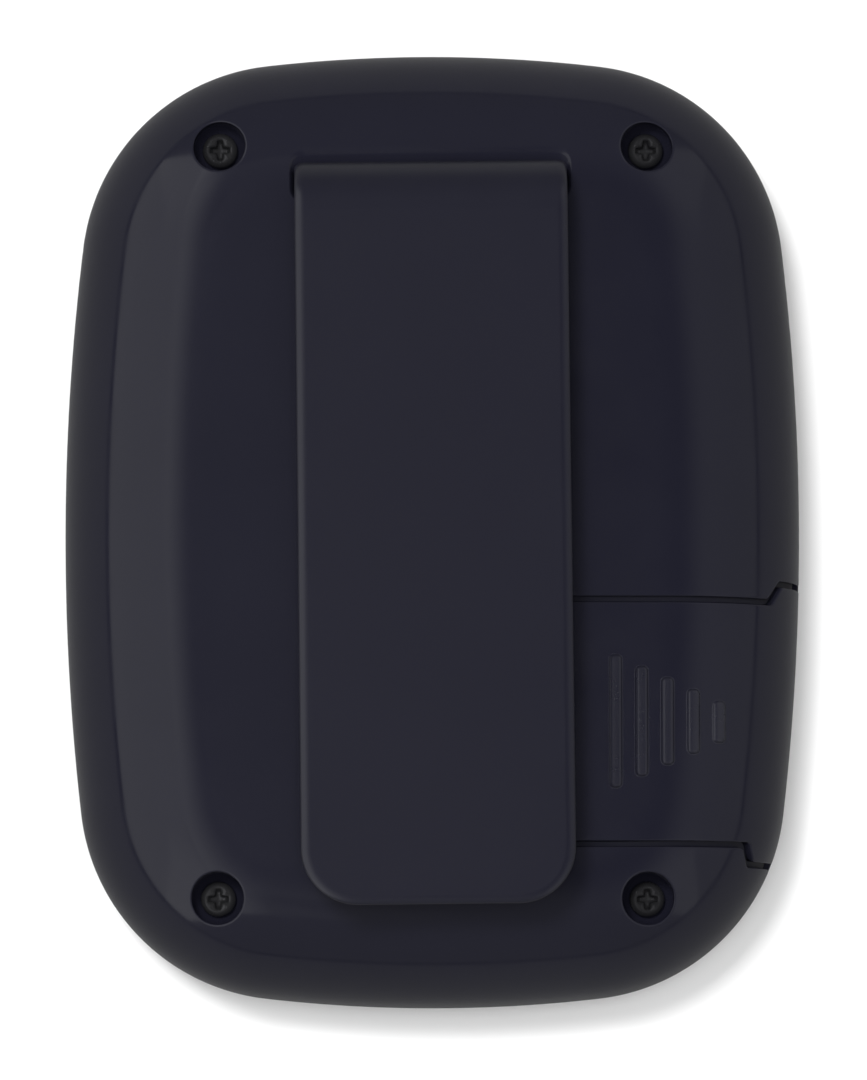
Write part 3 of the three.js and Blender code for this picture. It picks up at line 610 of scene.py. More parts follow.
def make_camera():
    camera = add_object("camera", bpy.data.cameras.new("camera"))
    target = Vector(CAMERA_TARGET) * MM
    back = Vector((math.sin(CAMERA_SIDE), -math.sin(CAMERA_TILT), math.cos(CAMERA_TILT))).normalized()
    right = Vector((0, 1, 0)).cross(back).normalized()
    turn = Matrix((right, back.cross(right), back)).transposed()
    camera.matrix_world = Matrix.Translation(target + back * CAMERA_DISTANCE) @ turn.to_4x4()
    camera.data.sensor_width = SENSOR
    camera.data.lens = SENSOR * CAMERA_DISTANCE / (IMAGE_HEIGHT * MM_PER_PIXEL * MM)
    camera.data.clip_start, camera.data.clip_end = 0.05, 20
    bpy.context.scene.camera = camera


def area_light(name, place, size, radiance, shines=True, reflects=True):
    """A rectangular light of an even radiance that faces the pager. One that only shines isn't seen in
    reflections, and one that only reflects doesn't light up what it faces."""
    light = bpy.data.lights.new(name, "AREA")
    light.shape = "RECTANGLE"
    light.size, light.size_y = size
    light.energy = radiance * math.pi * size[0] * size[1]
    obj = add_object(name, light)
    obj.location = place
    obj.rotation_mode = "QUATERNION"
    obj.rotation_quaternion = (LIGHT_TARGET - Vector(place)).to_track_quat("-Z", "Y")
    obj.visible_diffuse = shines
    obj.visible_glossy = reflects
    return obj


def reflector(name, toward, elevations, radiance, shift=0.0):
    """A long strip that only reflects, in a plan direction, between two elevations in degrees."""
    low, high = (
        REFLECTOR_DISTANCE * np.array([toward[0] * math.cos(e), toward[1] * math.cos(e), math.sin(e)])
        for e in np.radians(elevations)
    )
    size = (REFLECTOR_LENGTH, np.linalg.norm(high - low))
    area_light(name, (low + high) / 2 + (0, shift, 0), size, radiance, shines=False)


def faded_reflector(name, toward, elevations, radiance, fade, shift=0.0):
    """A strip that fades out upwards over some degrees."""
    high = elevations[1]
    reflector(name, toward, elevations, radiance, shift)
    for number in range(FADE_STEPS):
        share = 1 - ease_in((number + 1) / (FADE_STEPS + 1))
        edges = [high + (number + k) * fade / FADE_STEPS for k in (0, 1)]
        reflector(f"{name}_fade_{number}", toward, edges, radiance * share, shift)


def floor_plane(name, height, shades):
    mesh = bpy.data.meshes.new(name)
    corners = [(x * FLOOR_REACH, y * FLOOR_REACH, height) for x, y in ((-1, -1), (1, -1), (1, 1), (-1, 1))]
    mesh.from_pydata(corners, [], [(0, 1, 2, 3)])
    material, tree, shader = new_material(name)
    tree.links.new(ramp(tree, noise(tree, 3), *shades), shader.inputs["Base Color"])
    set_inputs(shader, Roughness=0.9, Specular_IOR_Level=0.1)
    floor = paint(add_object(name, mesh), material)
    return floor


def make_floors():
    """The white floor, and a darker one just over it that only shows in reflections."""
    floor_plane("floor", 0, (0.86, 0.88)).visible_glossy = False
    dark = floor_plane("floor_in_reflections", 0.0001, (0.125, 0.135))
    dark.visible_camera = dark.visible_diffuse = dark.visible_shadow = False


def make_lights():
    world = bpy.data.worlds.new("studio")
    bpy.context.scene.world = world
    world.use_nodes = True
    set_inputs(world.node_tree.nodes["Background"], Color=(0.9, 0.9, 0.9, 1), Strength=0.15)
    world.cycles_visibility.glossy = False
    area_light("key", (-0.28, 0.3, 1.5), (0.28, 0.28), 61, reflects=False)
    area_light("overhead", (0, 0, 1.5), (1.2, 1.2), 1.35, reflects=False)
    area_light("lamp_by_the_camera", (0, -0.1, 1.5), (0.4, 0.4), 18, reflects=False)
    area_light("left_fill", (-0.8, 0, 0.7), (2, 0.9), 0.55, reflects=False)
    area_light("right_fill", (0.8, 0, 0.7), (2, 0.9), 0.25, reflects=False)
    ceiling = area_light("ceiling", (-0.46, 0, 1.45), (1, 2), 0.09, shines=False)
    ceiling.rotation_quaternion = (1, 0, 0, 0)
    faded_reflector("left_softbox", (-1, 0), (4, 56), 0.6, 22, -0.05)
    faded_reflector("right_softbox", (1, 0), (3, 50), 0.23, 22)
    faded_reflector("foot_reflector", (0, -1), (2, 50), 0.14, 24)
    faded_reflector("top_reflector", (0, 1), (2, 50), 0.09, 24)
    bpy.context.scene.view_settings.view_transform = "Standard"


# ---------- parts of the covers


def side(skin, wall=0.0):
    """A function that gives the points of a skin, or of its inner side, and the normals off the plastic."""

    def lift(places):
        points, normals = skin.lift(places, wall)
        return points, (-normals if wall else normals)

    return lift


def door_path(ease, foot_z):
    """The door's edge from its lower end near the parting line round to its upper end there, in the
    rear skin's unrolled plane, moved outwards by an ease."""
    lid, ear = NOTCH_HALF + ease, NOTCH_HALF + NOTCH_EAR + ease
    path = []
    for end, order in ((-1, 1), (1, -1)):
        low = [REAR.on_right_wall(DOOR_Y + end * ear, z) for z in (foot_z, *EAR_STEPS, EAR_TOP_Z + ease)]
        high = [REAR.on_right_wall(DOOR_Y + end * lid, z) for z in (LID_Z + ease, *LID_STEPS, BACK_Z)]
        path += [*low, *high, np.array([NOTCH_LEFT - ease, DOOR_Y + end * lid])][::order]
    return path


def notched_rim():
    """The rear cover's edge: the parting line, and round the notch for the battery door."""
    notch = door_path(NOTCH_EASE, PARTING_Z)
    rim = REAR.rim_places()
    clear = 1.2
    by_door = (rim[:, 0] > 0) & (rim[:, 1] > notch[0][1] - clear) & (rim[:, 1] < notch[-1][1] + clear)
    after = np.flatnonzero(by_door)[-1] + 1
    kept = np.roll(rim, -after, axis=0)[~np.roll(by_door, -after)]
    return rounded_path([*notch, *kept], DOOR_CORNER, closed=True)


def skin_edge(shape, outer, loop):
    """Rounds the outer skin over into the wall at an edge. Gives the skin's places and ring, and the
    wall's ring."""
    places = grown(loop, -EDGE)
    ring = shape.add(*outer(places))
    points, normals = outer(loop)
    return places, ring, round_over(shape, ring, points, -normals, EDGE)


def well_edge(shape, skin, plan, radius, direction):
    """Rounds a skin over into a straight hole. Gives the skin's places and ring, and the hole's ring."""
    places = skin.find(grown(plan, radius))
    ring = shape.add(*skin.lift(places))
    corner = skin.lift(skin.find(plan))[0]
    return places, ring, round_over(shape, ring, corner, direction, radius)


def screw_well(shape, spot):
    """A case screw's well and its boss. Gives the places and rings on the outer and the inner skin."""
    places, ring, wall = well_edge(shape, REAR, circle(spot, WELL_R), WELL_RIM, DOWN)
    wall = shape.walls(wall, [(circle(spot, radius), z) for radius, z in WELL_STEPS])
    within = REAR.find(circle(spot, REAR_BOSS_R), REAR_WALL)
    return places, ring, within, shape.wall(wall, REAR.lift(within, REAR_WALL)[0])


def clip_pocket(shape):
    """The pocket that the clip is rooted in, with two slots for its barbs."""
    opening = askew(rounded_box(POCKET_CENTRE, POCKET_SIZE, 0.9))
    places = REAR.find(askew(rounded_box(POCKET_RIM_CENTRE, POCKET_RIM_SIZE, 1.5)))
    ring = shape.add(*REAR.lift(places))
    wall = ring
    top, foot = REAR.lift(places)[0], REAR.lift(REAR.find(opening))[0]
    for share in np.linspace(0, 1, 9)[1:]:
        wall = shape.wall(wall, top + (foot - top) * share + POCKET_SLOPE * share**1.6 * DOWN)
    floor = shape.wall(wall, at_height(opening, POCKET_FLOOR))
    slots = [rounded_box((x, 30.85), BARB_SLOT, 0.3) for x in (-BARB_X, BARB_X)]
    tops = [shape.add(at_height(slot, POCKET_FLOOR)) for slot in slots]
    shape.fill([(opening, floor), *zip(slots, tops)])
    block = rounded_box(POCKET_BLOCK_CENTRE, POCKET_BLOCK_SIZE, 0.8)
    below = shape.add(at_height(block, POCKET_BLOCK_Z))
    ends = [shape.wall(top, at_height(slot, POCKET_BLOCK_Z)) for top, slot in zip(tops, slots)]
    shape.fill([(block, below), *zip(slots, ends)])
    within = REAR.find(block, REAR_WALL)
    return places, ring, within, shape.wall(below, REAR.lift(within, REAR_WALL)[0])


def make_rear_cover():
    shape = Shape()
    outer, inner = side(REAR), side(REAR, REAR_WALL)
    rim = notched_rim()
    places, ring, wall = skin_edge(shape, outer, rim)
    within = shape.wall(wall, inner(rim)[0])
    features = [screw_well(shape, spot) for spot in SCREW_SPOTS]
    features.append(clip_pocket(shape))
    shape.fill([(places, ring)] + [f[:2] for f in features], outer)
    shape.fill([(rim, within)] + [f[2:] for f in features], inner, INNER_SPREAD)
    return shape.build("rear_shell")


# ---------- the battery door


def door_rib(shape, number):
    """A raised finger rib with round edges. Gives its places and ring on the door's skin."""
    centre = (RIB_FIRST_X + number * RIB_PITCH, DOOR_Y)
    size = np.array([RIB_WIDTH, RIB_LONGEST - number * RIB_SHORTER])
    rows = [(-0.1, 0)]
    for turn in np.radians((8, 25, 42, 58, 74, 90)):
        rows.append((RIB_ROUNDING * (1 - math.cos(turn)), RIB_HEIGHT * math.sin(turn)))
    loops = [REAR.find(rounded_box(centre, size - 2 * inset, RIB_CORNER - inset)) for inset, _ in rows]
    points, normals = REAR.lift(loops[0])
    foot = ring = shape.add(points, normals)
    for loop, (_, height) in list(zip(loops, rows))[1:]:
        ring = shape.wall(ring, REAR.lift(loop, -height)[0])
    shape.fill([(loops[-1], ring)])
    return loops[0], foot


def make_door():
    shape = Shape()
    outer, inner = side(REAR), side(REAR, REAR_WALL)
    ear = NOTCH_HALF + NOTCH_EAR + DOOR_EASE
    foot = [REAR.on_right_wall(DOOR_Y + y, DOOR_FOOT_Z) for y in np.linspace(ear, -ear, 24)[1:-1]]
    rim = rounded_path([*door_path(DOOR_EASE, DOOR_FOOT_Z), *foot], DOOR_CORNER, closed=True)[::-1]
    places, ring, wall = skin_edge(shape, outer, rim)
    within = shape.wall(wall, inner(rim)[0])
    first_of_ribs = len(shape.faces)
    ribs = [door_rib(shape, number) for number in range(RIB_COUNT)]
    last_of_ribs = len(shape.faces)
    shape.fill([(places, ring), *ribs], outer, DOOR_SPREAD)
    shape.fill([(rim, within)], inner, INNER_SPREAD)
    door = paint(shape.build("door_lid"), CASE)
    # the ribs' faces take the lighter plastic with the painted sheen
    door.data.materials.append(RIB_SATIN_PAINTED_SHEEN)
    for face in door.data.polygons[first_of_ribs:last_of_ribs]:
        face.material_index = 1
    return door


def make_door_seat():
    """The ledge at the bottom of the seam, all along the notch's wall. Its plastic is painted darker than
    the case's: painted shade in the seam.
    """
    shape = Shape()
    path = rounded_path(door_path((NOTCH_EASE + DOOR_EASE) / 2, PARTING_Z + 0.3), DOOR_CORNER)
    outward = to_the_right(np.gradient(path, axis=0))
    half = (NOTCH_EASE - DOOR_EASE) / 2
    front, back = 0.04 - half, half + 0.3
    sections = []
    for away, depth in ((back, 0), (front, 0), (front, SEAT_THICK), (back, SEAT_THICK)):
        sections.append(REAR.lift(path - away * outward, SEAT_DEPTH + depth)[0])
    rings = [shape.add(np.array(corners)) for corners in zip(*sections)]
    shape.chain(rings)
    shape.faces += [tuple(rings[0]), tuple(rings[-1])]
    return paint(shape.build("door_seat"), SEAM_PAINTED_SHADE)


# ---------- the front cover


def front_opening(shape, plan, rim, *levels):
    """An opening in the flat front, down through (plan, z) levels. Gives its places and rings."""
    places, ring, wall = well_edge(shape, FRONT, plan, rim, UP)
    return places, ring, levels[-1][0], shape.walls(wall, levels)


def inner_post(shape, spot, radius, top, bore):
    """A post for a screw on the front cover's inner side. Gives its places and ring there."""
    places = FRONT.find(circle(spot, radius, 32), FRONT_WALL)
    ring = shape.add(FRONT.lift(places, FRONT_WALL)[0])
    steps = ((radius, top), (bore, top), (bore, FRONT_WALL + 0.6))
    shape.close(shape.walls(ring, [(circle(spot, reach, 32), z) for reach, z in steps]))
    return places, ring


KEYS = "left", "middle", "right"
LIP_INSETS = 2.1, 3.0  # the seam lip's outer and inner face, in from the parting line


def seam_lip(shape, rim, wall):
    """The lip inside the seam, from the parting line's inner edge down to the inner skin."""
    centre, radius, _, direction = arc_frame(rim)
    outer_face, inner_face = (centre + direction * (radius - inset)[:, None] for inset in LIP_INSETS)
    by_door = (rim[:, 0] > 20) & (np.abs(inner_face[:, 1] - DOOR_Y) < NOTCH_HALF + NOTCH_EAR + 0.4)
    top = np.where(by_door, PARTING_Z - 0.2, PARTING_Z + 1.3)
    foot = 2.0
    levels = ((outer_face, PARTING_Z), (outer_face, top), (inner_face, top), (inner_face, PARTING_Z - foot))
    wall = shape.walls(wall, levels)
    places = grown(rim, -foot)
    return places, shape.wall(wall, FRONT.lift(places, FRONT_WALL)[0])


def speaker_slots():
    """The plan loops of the slots over the speaker."""
    x, y = middle("speaker")[:2]
    return [stadium((x + 3.2 * k, y), (1.2, 9.6 - 1.1 * k * k)) for k in range(-2, 3)]


def make_front_cover():
    shape = Shape()
    outer, inner = side(FRONT), side(FRONT, FRONT_WALL)
    rim = FRONT.rim_places()
    places, ring, wall = skin_edge(shape, outer, rim)
    within = seam_lip(shape, rim, wall)
    pocket = rounded_box((0, DISPLAY_Y), LENS_SIZE + 0.6, 3)
    window = rounded_box((0, DISPLAY_Y), WINDOW_SIZE, 1.5)
    lens_seat = box_mm("window_gasket")[1][2]
    levels = ((pocket, lens_seat), (window, lens_seat), (window, FRONT_WALL))
    openings = [front_opening(shape, pocket, 0.25, *levels)]
    for place in KEYS:
        hole = stadium(middle("key_" + place)[:2], KEY_HOLE)
        openings.append(front_opening(shape, hole, 0.25, (hole, FRONT_WALL)))
    lamp = circle(middle("light_pipe")[:2], LAMP_R + 0.25, 32)
    openings.append(front_opening(shape, lamp, 0.2, (lamp, FRONT_WALL)))
    for slot in speaker_slots():
        openings.append(front_opening(shape, slot, 0.15, (slot, FRONT_WALL)))
    posts = [inner_post(shape, spot, FRONT_BOSS_R, FRONT_BOSS_Z, 0.75) for spot in SCREW_SPOTS]
    board_z = box_mm("circuit_board")[0][2]
    for name in ("upper_left", "upper_right", "lower_left", "lower_right"):
        posts.append(inner_post(shape, middle("board_screw_" + name)[:2], 2.0, board_z, 0.6))
    shape.fill([(places, ring)] + [o[:2] for o in openings], outer)
    shape.fill([within] + [o[2:] for o in openings] + posts, inner, INNER_SPREAD)
    return shape.build("front_shell")


# ---------- the belt clip

CLIP_HALF, CLIP_TOP_Y, CLIP_TIP_Y = 12.25, 32.2, -34.9
CLIP_TOP_Z = box_mm("belt_clip")[1][2]
CLIP_ROOT_Y, CLIP_LEAN, CLIP_SHIFT = 31.0, math.radians(0.65), -0.25
CLIP_BEND, CLIP_INNER_BEND = 5.0, 2.8
CLIP_STRAIGHT = CLIP_TOP_Z - CLIP_BEND - CLIP_FOOT_Z  # the foot's height, up to the bend
CLIP_LENGTH = CLIP_STRAIGHT + CLIP_BEND * (math.pi / 2 - 1) + CLIP_TOP_Y - CLIP_TIP_Y
CLIP_THICK, CLIP_FOOT_THICK = 2.2, 2.8
CLIP_CORNER = 5.1
CLIP_HOOK = 4.4  # how far the free end's hook reaches down from the clip's underside
HOOK_START, HOOK_RUN, TIP_START = 6.9, 4.4, 6.0  # distances from the free end
TIP_SLOPE = 0.9  # how far the free end's inner side leans back
CLIP_EDGE, CLIP_EDGE_DROP, CLIP_INNER_EDGE = 0.95, 0.5, 0.35


def clip_profile(u):
    """The clip's outer and inner (y, z) at a distance u along its outer side from the foot."""
    turn = np.clip((u - CLIP_STRAIGHT) / CLIP_BEND, 0, math.pi / 2)
    rise = np.clip(u, 0, CLIP_STRAIGHT)
    run = np.clip(u - CLIP_STRAIGHT - CLIP_BEND * math.pi / 2, 0, None)
    bend_y = CLIP_TOP_Y - CLIP_BEND - run
    outer_z = CLIP_FOOT_Z + rise + CLIP_BEND * np.sin(turn)
    outer = np.column_stack([bend_y + CLIP_BEND * np.cos(turn), outer_z])
    inner_y = CLIP_TOP_Y - CLIP_FOOT_THICK - CLIP_INNER_BEND + CLIP_INNER_BEND * np.cos(turn) - run
    from_tip = bend_y - CLIP_TIP_Y
    thinning = (CLIP_FOOT_THICK - CLIP_THICK) * np.clip(run / 10, 0, 1)
    inner_y = inner_y + thinning + TIP_SLOPE * ease_in((TIP_START - from_tip) / TIP_START)
    inner_rise = rise * (CLIP_TOP_Z - CLIP_THICK - CLIP_INNER_BEND - CLIP_FOOT_Z) / CLIP_STRAIGHT
    hook = CLIP_HOOK * ease_in((HOOK_START - from_tip) / HOOK_RUN)
    inner_z = CLIP_FOOT_Z + inner_rise + CLIP_INNER_BEND * np.sin(turn) - hook
    return outer, np.column_stack([inner_y, inner_z])


def askew(plan):
    """Plan positions of the clip as it sits in its pocket: slightly turned and shifted."""
    x, away = plan[:, 0], plan[:, 1] - CLIP_ROOT_Y
    c, s = math.cos(CLIP_LEAN), math.sin(CLIP_LEAN)
    return np.column_stack([CLIP_SHIFT + c * x - s * away, CLIP_ROOT_Y + s * x + c * away])


def clip_point(places, share):
    """Points of the clip at places (x, u) and a share of the way from its outer to its inner side."""
    outer, inner = clip_profile(places[:, 1])
    y, z = (outer + (inner - outer) * share).T
    return np.column_stack([askew(np.column_stack([places[:, 0], y])), z])


def clip_normals(places, share):
    """The normals off the clip's outer (0) or inner (1) side."""
    small = 0.02
    across, along = (
        clip_point(places + move, share) - clip_point(places - move, share)
        for move in (np.array([small, 0]), np.array([0, small]))
    )
    return unit(np.cross(along, across) * (1 - 2 * share))


def clip_side(share):
    """A surface function for the clip's outer (0) or inner (1) side."""
    return lambda places: (clip_point(places, share), clip_normals(places, share))


def make_clip():
    shape = Shape()
    loop = clip_outline(CLIP_HALF, CLIP_LENGTH, CLIP_CORNER)
    rows = [(loop, *row, 0) for row in edge_rows(CLIP_EDGE, CLIP_EDGE_DROP)]
    rows += [(loop, *row, 1) for row in reversed(edge_rows(CLIP_INNER_EDGE, CLIP_INNER_EDGE))]
    rings = [clip_row(shape, *row) for row in rows]
    shape.chain(rings)
    shape.fill([(grown(loop, -CLIP_EDGE), rings[0])], clip_side(0))
    shape.fill([(grown(loop, -CLIP_INNER_EDGE), rings[-1])], clip_side(1))
    return shape.build("clip_strap")


def clip_row(shape, loop, out, depth, turn, share):
    """One row of points round the clip's edge: in from the outline, at a depth off one side."""
    places = grown(loop, -out)
    base = clip_point(places, share)
    inwards = unit(clip_point(places, 1 - share) - base)
    outwards = unit(clip_point(grown(loop, 0.05), share) - clip_point(loop, share))
    normals = math.cos(turn) * clip_normals(places, share) + math.sin(turn) * outwards
    return shape.add(base + depth * inwards, unit(normals))


def edge_rows(reach, drop, steps=7):
    """(distance in from the edge, depth, the normal's tilt) round a quarter ellipse, from the face on."""
    rows = []
    for t in np.linspace(0, math.pi / 2, steps + 1):
        c, s = math.cos(t), math.sin(t)
        rows.append((reach * (1 - s), drop * (1 - c), math.atan2(s / reach, c / drop)))
    return rows


def clip_outline(half, length, corner):
    """The clip's unrolled outline in (x, u), counter-clockwise: square foot, round free end."""
    foot = rounded_path([(-half, 3.0), (-half, 0), (half, 0), (half, 3.0)], 1.2)
    arc = corner * spokes(np.linspace(0, math.pi / 2, 16))
    right = np.array([half - corner, length - corner]) + arc
    left = np.array([corner - half, length - corner]) + (arc * (-1, 1))[::-1]
    sides = [line(foot[-1], right[0]), line(right[-1], left[0]), line(left[-1], foot[0])]
    return np.vstack([part[:-1] for part in (foot, sides[0], right, sides[1], left, sides[2])])


# ---------- screws

SCREW_HEAD_R, SCREW_HEAD_H = 1.6, 1.3
SHANK_R, SHANK_ROOT_R, THREAD_PITCH = 0.95, 0.78, 0.5


def dome(places, top, radius):
    """Points and normals of a shallow dome over the plan."""
    x, y = places.T
    height = top - (x * x + y * y) / (2 * radius)
    return at_height(places, height), unit(np.column_stack([x / radius, y / radius, np.ones(len(x))]))


def cross_loop(reach, half, fillet):
    """The outline of a cross recess."""
    corners = []
    for quarter in range(4):
        c, s = math.cos(quarter * math.pi / 2), math.sin(quarter * math.pi / 2)
        for x, y in ((reach, -half), (reach, half), (half * fillet, half * fillet)):
            corners.append((c * x - s * y, s * x + c * y))
    return rounded_path(corners, 0.06, step=0.15, closed=True)


def make_screw(name, node):
    """A pan-head screw with a cross recess and a threaded shank, head up, in its CAD node's place."""
    low, high = box_mm(node)
    top, tip = high[2], low[2]
    shape = Shape()

    def over(places):
        return dome(places, top, 4.5 * SCREW_HEAD_R)

    rim = circle((0, 0), 0.72 * SCREW_HEAD_R)
    cross = cross_loop(0.62 * SCREW_HEAD_R, 0.15 * SCREW_HEAD_R, 1.5)
    face = shape.add(*over(rim))
    slot = shape.add(over(cross)[0])
    shape.fill([(rim, face), (cross, slot)], over, 0.2 * SCREW_HEAD_R)
    levels = ((0.9, 0.25), (0.72, 0.6), (0.6, 0.68))
    slot = shape.walls(slot, [(cross * shrink, top - depth * SCREW_HEAD_H) for shrink, depth in levels])
    shape.fill([(cross * 0.6, slot)])
    head = ((0.84, 0.16), (0.93, 0.28), (0.985, 0.45), (1, 0.62), (1, 1))
    rows = [(share * SCREW_HEAD_R, top - depth * SCREW_HEAD_H) for share, depth in head]
    z = top - SCREW_HEAD_H
    rows.append((SHANK_ROOT_R, z))
    while z > tip + 1.4:
        for radius, share in ((SHANK_R, 0.4), (SHANK_ROOT_R, 0.4), (SHANK_ROOT_R, 0.2)):
            z -= share * THREAD_PITCH
            rows.append((radius, z))
    rows += [(0.35, tip + 0.2), (0.1, tip)]
    shape.close(shape.walls(face, [(circle((0, 0), radius), z) for radius, z in rows]))
    shape.points = shape.points + (*middle(node)[:2], 0)
    return shape.build(name, sharp=35)


# ---------- round parts


def turned(name, profile, centre, axis, count=48):
    """A solid of revolution: (distance along, radius) pairs from one end to the other, about an axis
    through a centre. The axis is 0 for x and 2 for z."""
    shape = Shape()
    rings = []
    for along, radius in profile:
        still = np.full(count, float(along))
        loop = circle((0, 0), radius, count)
        rings.append(shape.add(np.column_stack([still, loop] if axis == 0 else [loop, still]) + centre))
    shape.tube(rings)
    return shape.build(name, sharp=35)


def coil(name, start, direction, length, radii, turns, wire):
    """A cone-shaped coil spring along x, as a tube of round wire."""
    shape = Shape()
    rings = []
    cosines, sines = spokes(np.linspace(0, 2 * math.pi, 10, endpoint=False)).T
    for share in np.linspace(0, 1, int(turns * 36) + 1):
        turn = share * turns * 2 * math.pi
        radial = np.array([0, math.cos(turn), math.sin(turn)])
        radius = radii[0] + (radii[1] - radii[0]) * share
        forward = direction * length * ease_in((share - 0.12) / 0.76)
        cross = np.outer(cosines, radial) + np.outer(sines, (1, 0, 0))
        rings.append(shape.add(np.array(start) + radius * radial + (forward, 0, 0) + wire * cross))
    shape.tube(rings)
    return shape.build(name, sharp=60)


def plate(name, outline, rows):
    """A flat piece from its outline: rows of (distance in from the outline, z), closed at both ends."""
    shape = Shape()
    rings = [shape.add(at_height(grown(outline, -inwards), z)) for inwards, z in rows]
    shape.chain(rings)
    for end in (0, -1):
        shape.fill([(grown(outline, -rows[end][0]), rings[end])])
    return shape.build(name, sharp=35)


def blocks(name, boxes, rounding):
    """Rounded blocks in one piece, each given by two opposite corners."""
    work = bmesh.new()
    for corner, opposite in boxes:
        corner, opposite = np.array(corner) * MM, np.array(opposite) * MM
        for vert in bmesh.ops.create_cube(work, size=1)["verts"]:
            vert.co = Vector((corner + opposite) / 2 + np.array(vert.co) * abs(opposite - corner))
    edges = list(work.edges)
    bmesh.ops.bevel(work, geom=edges, offset=rounding * MM, segments=2, affect="EDGES", profile=0.5)
    mesh = bpy.data.meshes.new(name)
    work.to_mesh(mesh)
    work.free()
    smooth(mesh, 35)
    return add_object(name, mesh)


# ---------- the materials of the other slots


def clear_material():
    """A see-through moulded plastic with a faint unevenness."""
    shades = (0.86, 0.88, 0.88), (0.9, 0.92, 0.92)
    material = surface("clear_plastic", *shades, (0.02, 0.05), 400, 3e-6, strength=0.15)
    set_inputs(material.node_tree.nodes["Principled BSDF"], Transmission_Weight=1.0, IOR=1.49)
    return material


def connector_material():
    """Fine stripes along x: the layered rubber that joins a display to its board."""
    material, tree, shader = new_material("connector_rubber")
    wave = texture(tree, "Wave", Scale=700, Distortion=0.3).outputs["Fac"]
    shades = ramp(tree, wave, 0.02, (0.5, 0.48, 0.46), 0.45, 0.55)
    tree.links.new(shades, shader.inputs["Base Color"])
    tree.links.new(ramp(tree, noise(tree, 2500), 0.6, 0.75), shader.inputs["Roughness"])
    tree.links.new(bump(tree, wave, 0.3, 2e-5), shader.inputs["Normal"])
    return material


def board_material():
    """Green solder mask over copper tracks: the tracks show as a lighter, raised pattern."""
    material, tree, shader = new_material("board_laminate")
    bricks = texture(tree, "Brick", Scale=160, Mortar_Size=0.03)
    set_inputs(bricks, Color1=(0.006, 0.075, 0.026, 1), Color2=(0.008, 0.09, 0.032, 1))
    set_inputs(bricks, Mortar=(0.02, 0.17, 0.06, 1))
    tree.links.new(bricks.outputs["Color"], shader.inputs["Base Color"])
    tree.links.new(ramp(tree, noise(tree, 900), 0.3, 0.42), shader.inputs["Roughness"])
    tree.links.new(bump(tree, bricks.outputs["Fac"], 0.4, 3e-5), shader.inputs["Normal"])
    return material


FINISHES = {
    "case_plastic": CASE,
    "clip_plastic": CLIP,
    "tray_plastic": surface(
        "tray_satin", (0.016, 0.016, 0.018), (0.024, 0.024, 0.026), (0.45, 0.6), 2500, 1e-5
    ),
    "black_steel": surface(
        "screw_black", (0.05, 0.05, 0.055), (0.075, 0.075, 0.08), (0.2, 0.3), 3000, 5e-6, 0.8
    ),
    "bright_steel": surface("zinc_plate", (0.5, 0.5, 0.52), (0.6, 0.6, 0.62), (0.22, 0.38), 1500, 6e-6, 1),
    "contact_metal": surface(
        "nickel_plate", (0.55, 0.52, 0.47), (0.66, 0.63, 0.58), (0.15, 0.3), 900, 5e-6, 1
    ),
    "cell_jacket": surface(
        "cell_jacket", (0.015, 0.04, 0.16), (0.02, 0.055, 0.2), (0.2, 0.32), 700, 8e-6, 0.35
    ),
    "black_wire": surface("wire_black", 0.015, 0.03, (0.4, 0.5), 1200, 1e-5),
    "red_wire": surface("wire_red", (0.38, 0.02, 0.015), (0.5, 0.035, 0.025), (0.4, 0.5), 1200, 1e-5),
    "clear_plastic": clear_material(),
    "gasket_foam": surface("gasket_foam", 0.02, 0.045, (0.85, 0.95), 4000, 6e-5),
    "display_glass": surface(
        "display_glass", (0.27, 0.31, 0.24), (0.3, 0.34, 0.27), (0.08, 0.14), 900, 2e-6
    ),
    "white_plastic": surface("white_plastic", (0.72, 0.72, 0.69), (0.8, 0.8, 0.77), (0.4, 0.5), 2000, 1e-5),
    "connector_rubber": connector_material(),
    "key_rubber": surface(
        "key_rubber", (0.028, 0.028, 0.032), (0.042, 0.042, 0.047), (0.55, 0.7), 5000, 2e-5
    ),
    "can_steel": surface("can_steel", (0.45, 0.45, 0.46), (0.58, 0.58, 0.59), (0.3, 0.45), 1000, 1e-5, 1),
    "lamp_red": surface("lamp_red", (0.4, 0.02, 0.02), (0.5, 0.035, 0.03), (0.15, 0.25), 900, 5e-6),
    "board_laminate": board_material(),
    "chip_plastic": surface(
        "chip_plastic", (0.012, 0.012, 0.013), (0.022, 0.022, 0.023), (0.55, 0.7), 5000, 1.5e-5
    ),
    "rubber_boot": surface("rubber_boot", 0.02, (0.035, 0.035, 0.036), (0.7, 0.85), 3500, 2e-5),
    "brass": surface("brass", (0.55, 0.38, 0.14), (0.68, 0.48, 0.2), (0.25, 0.4), 1200, 8e-6, 1),
}


def finish_cad_nodes():
    """Gives every CAD node the material of its slot, and softens its edges a little."""
    for part in frame["record"]["subparts"]:
        obj = frame["nodes"][part["node"]]
        paint(obj, FINISHES[part["material_slot"]])
        smooth(obj.data, 35)


# ---------- putting the pager together


def attach(obj, body, slot, *nodes):
    """The piece rides on a body, takes a slot's finish if it has no material yet, and stands for CAD nodes.
    """
    if not obj.data.materials:
        paint(obj, FINISHES[slot])
    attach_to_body(obj, body)
    if nodes:
        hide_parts(*nodes)
    return obj


def make_case():
    attach(make_rear_cover(), "case", "case_plastic", "rear_cover")
    attach(make_front_cover(), "case", "case_plastic", "front_cover")
    attach(make_door(), "door", "case_plastic", "battery_door")
    attach(make_door_seat(), "case", "case_plastic")


